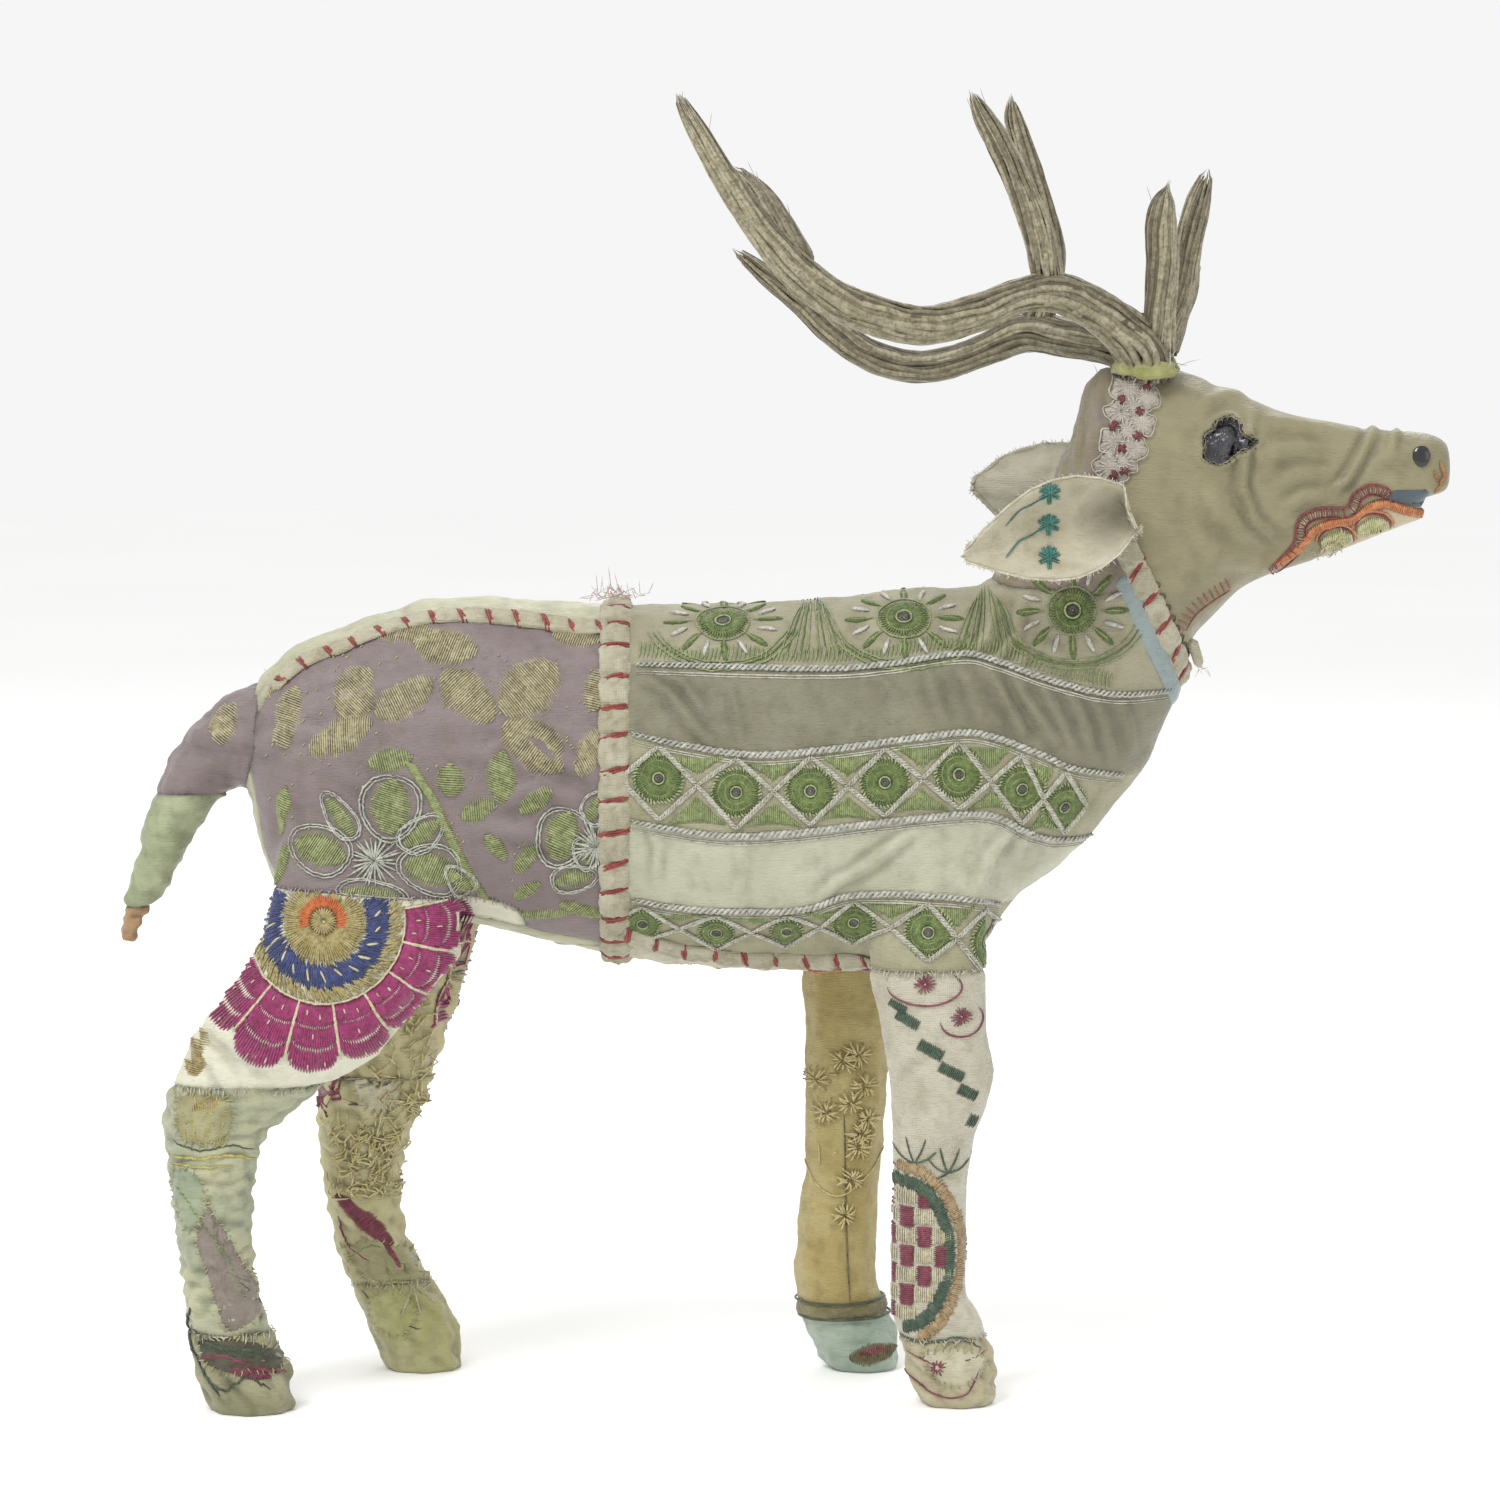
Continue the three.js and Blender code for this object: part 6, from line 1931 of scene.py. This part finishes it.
def trim_ear(side, node, grid, sign):
    """Raw threads along the edge, teal sprigs on the near ear and lace on the far one."""
    rows, columns = grid.shape[:2]
    fray = Needlework(node + "_fray", thread(node + "_edge", 0xCFC9B2, 0xE0DBC8, 0xA19A80), "ear_cloth", node)
    out = np.array((0.0, sign, 0.0))
    for column, away in ((0, -1), (columns - 1, 1)):
        edge = grid[2:-1, column]
        fray.add((edge + out * 0.3)[None], np.tile(out, (1, len(edge), 1)), 0.8, 0.7)
        for i in range(3, rows - 3):
            t = np.linspace(0, 1, 5)[:, None]
            way = np.array((RNG.normal(0, 0.5), sign * 0.4, away * 0.7))
            line = grid[i, column] + way * t * RNG.uniform(0.6, 2.0) + out * 0.2
            fray.add(line[None], np.tile(out, (1, 5, 1)), 0.22, 0.22)
    for i in range(4, columns - 4):
        t = np.linspace(0, 1, 5)[:, None]
        way = np.array((RNG.uniform(0.3, 1.2), sign * RNG.normal(0.3, 0.3), RNG.normal(0, 0.4)))
        line = grid[-1, i] + way * t * 2.2
        fray.add(line[None], np.tile(out, (1, 5, 1)), 0.25, 0.25)
    fray.made()
    tree = grid_tree(grid)
    if side == "right":
        teal = Needlework("ear_teal_sprigs", thread("teal_thread", 0x2F7468, 0x4B9486, 0x1C4A43),
                          "ear_cloth", node)
        low = corner(node)
        for z in (25.5, 16, 6.5):
            at = np.array((low[0] + 25.5, low[2] + z))
            for turn in (90, 55, 125, 20, 160, -25, 205, -90):
                way = heading(turn)
                for shift in (-0.35, 0.35):
                    foot = at + np.array([-way[1], way[0]]) * shift
                    lay_on(teal, tree, sign, [foot, foot + way * 3.4], 0.7)
            if z > 10:
                stem = [at + (-2, -1), at + (-6, -3.4), at + (-9, -4.8), at + (-13, -9.4)]
                lay_on(teal, tree, sign, stem, 0.55)
        teal.made()
    else:
        white = thread("ear_lace", 0xD3CFBF, 0xE6E3D6, 0xA9A490)
        lace = Needlework("ear_lace_loops", white, "lace_cotton", node)
        for _ in range(60):
            i, j = int(RNG.integers(4, rows - 4)), int(RNG.integers(3, columns - 3))
            at = grid[i, j][[0, 2]]
            for facing in (sign, -sign):
                ring = circle(RNG.uniform(1.3, 2.5), at, count=12)
                lay_on(lace, tree, facing, ring, 0.55, lift=0.4 if facing == sign else 0.5)
        lace.made()


def grid_tree(grid):
    return BVHTree.FromPolygons(grid.reshape(-1, 3).tolist(), grid_faces(*grid.shape[:2]).tolist())


def lay_on(work, tree, sign, line, width, lift=0.35):
    """A thread along places of x and z on one side of an ear."""
    points, normals = [], []
    for x, z in sampled(line, 0.7):
        hit, normal = cast_sideways(tree, x, z, sign)
        if hit is None:
            continue
        normal = np.array(normal) * (1 if normal[1] * sign > 0 else -1)
        points.append(np.array(hit) + normal * lift)
        normals.append(normal)
    if len(points) > 2:
        work.add(np.array(points)[None], np.array(normals)[None], width, width * 0.8)


# Small pieces of cloth laid on the skin.
def applique(name, material, ground, centre, outline, lift=0.5, dome=0.4, rim=0.6, replaces=()):
    """A filled outline that lies on the skin and rounds over at its edge."""
    shares = np.array([0.06, 0.22, 0.4, 0.58, 0.74, 0.87, 0.95, 1.0])
    count = len(outline)
    places = np.array(centre) + (np.array(outline) - np.array(centre))[None] * shares[:, None, None]
    middle_point, middle_normal = ground.lay([centre])
    points, normals = ground.lay(places)
    rise = lift + dome * (1 - shares ** 2) - (lift + rim) * shares ** 14
    points = points + normals * rise[:, None, None]
    all_points = np.concatenate([middle_point + middle_normal * (lift + dome), points.reshape(-1, 3)])
    after = (np.arange(count) + 1) % count
    fan = np.stack([np.zeros(count, int), 1 + np.arange(count), 1 + after], 1)
    quads = [np.stack([1 + k * count + np.arange(count), 1 + (k + 1) * count + np.arange(count),
                       1 + (k + 1) * count + after, 1 + k * count + after],
                       1) for k in range(len(shares) - 1)]
    faces = [fan, np.concatenate(quads)]
    flat = np.array(outline)
    turning = np.sum(flat[:, 0] * np.roll(flat[:, 1], -1) - flat[:, 1] * np.roll(flat[:, 0], -1))
    right_handed = isinstance(ground, SideCloth) and ground.right[0] < 0
    if (turning < 0) != right_handed:
        faces = [f[:, ::-1] for f in faces]
    piece = mesh_object(name, all_points, faces, material)
    thicken(piece, SCRAP_THICKNESS)
    finish_piece(piece, replaces=replaces)


# The head's jaw embroidery, mouth, nostrils, nose edge, lace and scraps.
def dress_head():
    w = works(
        "jaw_cloth",
        maroon=("jaw_maroon_edging", 0x7A2B2E, 0x96454A, 0x4E191C),
        cream=("jaw_cream_stitches", 0xCDBF95, 0xDDD2B0, 0x9C8D62),
        orange=("jaw_orange_band", 0xC67A48, 0xDB9A66, 0x94532B),
        lime=("jaw_half_discs", 0xC0BE86, 0xD3D0A2, 0x928F58),
        nose=("nose_raw_edge", 0x96663A, 0xB88850, 0x5F3C20),
        comb=("throat_comb", 0x9C5540, 0xB8745C, 0x6B3526),
        tear=("eye_torn_edge", 0x9A9374, 0xB5AE8E, 0x68624A),
    )
    slate = cloth("mouth_slate", 0x4B5862, 0x616E77, 0x2E373D, satin=True)
    for name, sign in SIDES:
        ground = side_cloth(sign, "face_cover", "jaw_cover")
        jaw = corner("jaw_cover")[[0, 2]]
        face = corner("face_cover")[[0, 2]]
        scallop = [jaw + p for p in ((-15, -2), (-8, 5.3), (-7.2, 11.6), (-3.6, 15.2), (2.6, 16.4),
                                     (8, 16.4), (9.8, 20.3),
                                     (14.3, 23), (19.6, 22.4), (22.5, 19.4))]
        couch(w["maroon"], ground, scallop, 0.9, 0.8, 0.5)
        line = sampled(scallop, 1.7)
        inward = aside(unit(np.gradient(line, axis=0)))
        sew(w["cream"], ground, np.hstack([line + inward * 0.3, line + inward * 3.0]), 1.05, 0.55)
        sew(w["maroon"], ground, np.hstack([line, line + inward * 3.2]), 0.6, 0.6, lift=0.4)
        couch(w["maroon"], ground, line + inward * 3.2, 0.6, 0.55, 0.4)
        band = sampled([jaw + p for p in ((-12.5, -1), (-5.5, 4.5), (-1.5, 9.5), (4.4, 11.6), (9.8, 12.6),
                                          (14.3, 15.8), (19.6, 17.2),
                                          (25, 15.5), (31, 14))], 0.6)
        cross = aside(unit(np.gradient(band, axis=0)))
        sew(w["orange"], ground, np.hstack([band - cross * 1.5, band + cross * 1.6]), 0.75, 0.7, lift=0.35)
        for at in (jaw + (5.3, 6.2), jaw + (16.3, 10.2)):
            sew(w["lime"], ground, leaf(10.2, 7.4, 12, 88, 0.6, at), 0.7, 0.55, lift=0.3)
            couch(w["maroon"], ground, circle(5.4, at, flat=0.76, start=-10, end=200), 0.6, 0.55, 0.45)
            couch(w["orange"], ground, circle(6.3, at, flat=0.78, start=0, end=190), 0.8, 0.7, 0.4)
        hairs_flat(w["cream"], ground, jaw + (6, 3), 5, 22)
        outline = [jaw + p for p in ((18.5, 19.6), (22, 21.4), (27, 21.6), (33, 21), (32.5, 16.2),
                                     (28, 16.2), (23, 17.6))]
        outline = sampled([*outline, outline[0]], 1.0)[:-1]
        applique(name + "_mouth_slate", slate, ground, np.mean(outline, 0), outline,
                 replaces=["mouth_lining"])
        nose_edge(w["nose"], ground)
        eye = middle("right_eye")[[0, 2]]
        t = np.radians([a for a, _ in EYE_OUTLINE])
        r = np.array([r for _, r in EYE_OUTLINE])
        tear = eye + headings(t) * r[:, None] * 1.02
        for grow in (0, 0.5):
            couch(w["tear"], ground, tear + RNG.normal(0, 0.2, tear.shape) + grow, 0.3, 0.3, 0.3, wobble=0.12)
        comb = sampled([face + (22, 17), face + (25, 22), face + (30, 26), face + (36, 29.5)], 1.9)
        inward = aside(unit(np.gradient(comb, axis=0)))
        couch(w["comb"], ground, comb + inward * 1, 0.45, 0.45, 0.25)
        sew(w["comb"], ground, np.hstack([comb + inward, comb - inward * 3.2]), 0.45, 0.45, lift=0.2)
    make_all(w)
    set_nostrils()


def hairs_flat(work, ground, at, spread, count):
    lines = []
    for _ in range(count):
        x, z = np.array(at) + RNG.normal(0, spread / 2, 2)
        turn = RNG.uniform(-2.4, -0.6)
        lines.append((x, z, x + 2.6 * math.cos(turn), z + 2.6 * math.sin(turn)))
    sew(work, ground, lines, 0.25, 0.25, lift=0.3, arch=0.8)


def nose_edge(work, ground):
    """The raw turned edges of the cloth at the nose."""
    front = far_corner("face_cover")
    base = corner("right_nostril")
    for line, width in (
        ([(-3, 2), (-1.6, -1), (-2.2, -4), (-4, -7)], 1.6),
        ([(-4.6, 0), (-4, -4)], 1.0),
    ):
        places = [(front[0] + x, base[2] + z) for x, z in line]
        couch(work, ground, places, width, width * 0.8, 0.3, wobble=0.25)


def set_nostrils():
    n = Nodes("nostril_glass")
    tint, rough = n.mix(n.noise(300, 2), 0x0B0A0B, 0x171516), n.bump(n.noise(900, 2), 0.03)
    black = n.done(tint, 0.16, rough, coat_weight=0.6, coat_roughness=0.06)
    tree = tree_of("face_cover")
    for name, sign in SIDES:
        x, _, z = middle(name + "_nostril")
        hit, normal = cast_sideways(tree, x, z, sign)
        hit, normal = np.array(hit), unit(np.array(normal))
        across = unit(np.cross(normal, (0, 0, 1)))
        upward = np.cross(across, normal)
        bead_points, faces = [], []
        turns, levels = 40, 14
        for k in range(levels + 1):
            pole = math.pi * k / levels
            for j in range(turns):
                a = 2 * math.pi * j / turns
                wave = 1 + 0.02 * math.sin(3 * a + k)
                spoke = across * math.cos(a) * 2.7 + upward * math.sin(a) * 3.3
                level = 0.1 + 0.9 * math.cos(pole)
                bead_points.append(hit + normal * level + spoke * math.sin(pole) * wave)
        for k in range(levels):
            for j in range(turns):
                after = (j + 1) % turns
                faces.append((k * turns + j, (k + 1) * turns + j, (k + 1) * turns + after, k * turns + after))
        piece = mesh_object(name + "_nostril_bead", bead_points, np.array(faces), black)
        finish_piece(piece, replaces=[name + "_nostril"])


def hang_lace():
    """Lace petals down the side of the crown, with dark red knots, and scraps at the antlers' feet."""
    white = cloth("lace_petals", 0xB4AA9C, 0xC9C0B4, 0x94877F, thread=0.7, weave=0.1, blotch=120)
    lime = cloth("lime_scrap", 0x9A9A58, 0xB3B27A, 0x6E6D3C, blotch=110)
    w = works("lace_cotton", knot=("lace_red_knots", 0x6B2228, 0x883A3C, 0x45151A),
              loop=("lace_loops", 0xC9C0B2, 0xDDD6CA, 0x9C9184))
    for name, sign in SIDES:
        node = name + "_crown_lace"
        low, high = corner(node), far_corner(node)
        ground = side_cloth(sign, "face_cover", "neck_cover")
        spots = [(0.82, 0.97), (0.5, 0.9), (0.95, 0.8), (0.62, 0.72), (0.3, 0.66), (0.8, 0.55), (0.45, 0.47),
                 (0.2, 0.36), (0.6, 0.3), (0.34, 0.16), (0.08, 0.1)]
        for k, (across, up) in enumerate(spots):
            at = np.array((low[0] + across * 12, low[2] + up * (high[2] - low[2])))
            t = np.radians(np.linspace(0, 360, 40, endpoint=False))
            reach = RNG.uniform(3.9, 5.2) * (1 + 0.13 * np.cos(5 * t + k) + 0.06 * np.cos(11 * t))
            outline = at + headings(t) * (1, 0.9) * reach[:, None]
            above = 0.12 * (k % 3)
            applique(f"{name}_lace_petal_{k + 1}", white, ground, at, outline,
                     lift=0.5 + above, dome=0.9, rim=0.1, replaces=[node])
            couch(w["loop"], ground, [*outline[::3], outline[0]], 0.45, 0.45, 0.7 + above)
            rays = ring_of(1, reach.mean() * 0.85, at, pitch=1.2)
            sew(w["loop"], ground, rays, 0.35, 0.35, lift=1.2, arch=0.3)
        for across, up in ((0.95, 0.93), (0.3, 0.78), (0.75, 0.66), (0.15, 0.52), (0.7, 0.42), (0.35, 0.3),
                           (0.1, 0.02),
                           (0.4, 0.06)):
            at = np.array((low[0] + across * 12, low[2] + up * (high[2] - low[2])))
            for _ in range(5):
                turn = RNG.uniform(0, math.pi)
                reach = np.array((math.cos(turn), math.sin(turn))) * 1.6
                sew(w["knot"], ground, [(*(at - reach), *(at + reach))], 0.8, 0.8, lift=1.4, arch=0.6)
        foot = middle(name + "_antler_peg")
        top = far_corner("face_cover")[2] - 1.5
        ring = np.radians(np.linspace(0, 370, 90))
        radius = 7.2 + 0.7 * np.sin(3 * ring + sign) + 0.4 * np.sin(7 * ring)
        path = np.stack([foot[0] + radius * np.cos(ring), foot[1] + radius * np.sin(ring) * 0.9,
                         np.full(90, top + 0.6) - 0.06 * (radius * np.sin(ring)) ** 2 * 0.4], 1)
        out = np.stack([np.cos(ring), np.sin(ring), np.full(90, 0.9)], 1)
        tape(f"{name}_antler_scrap", lime, "tape_cotton", path, unit(out), 6.5, 2.2, ridges=5,
             stitches=np.arange(3, 40, 6.5))
        hairs(w["loop"], (foot[0], foot[1], top + 1), (5, 5, 1), 6, 30, (0, sign, 0.3))
    make_all(w)


make_panels()
sew_flank()
sew_rump()
sew_belly()
sew_thigh()
sew_forelegs()
sew_scraps()
sew_hind_legs()
sew_tapes()
wrap_antlers()
make_ears()
dress_head()
hang_lace()
core_materials()
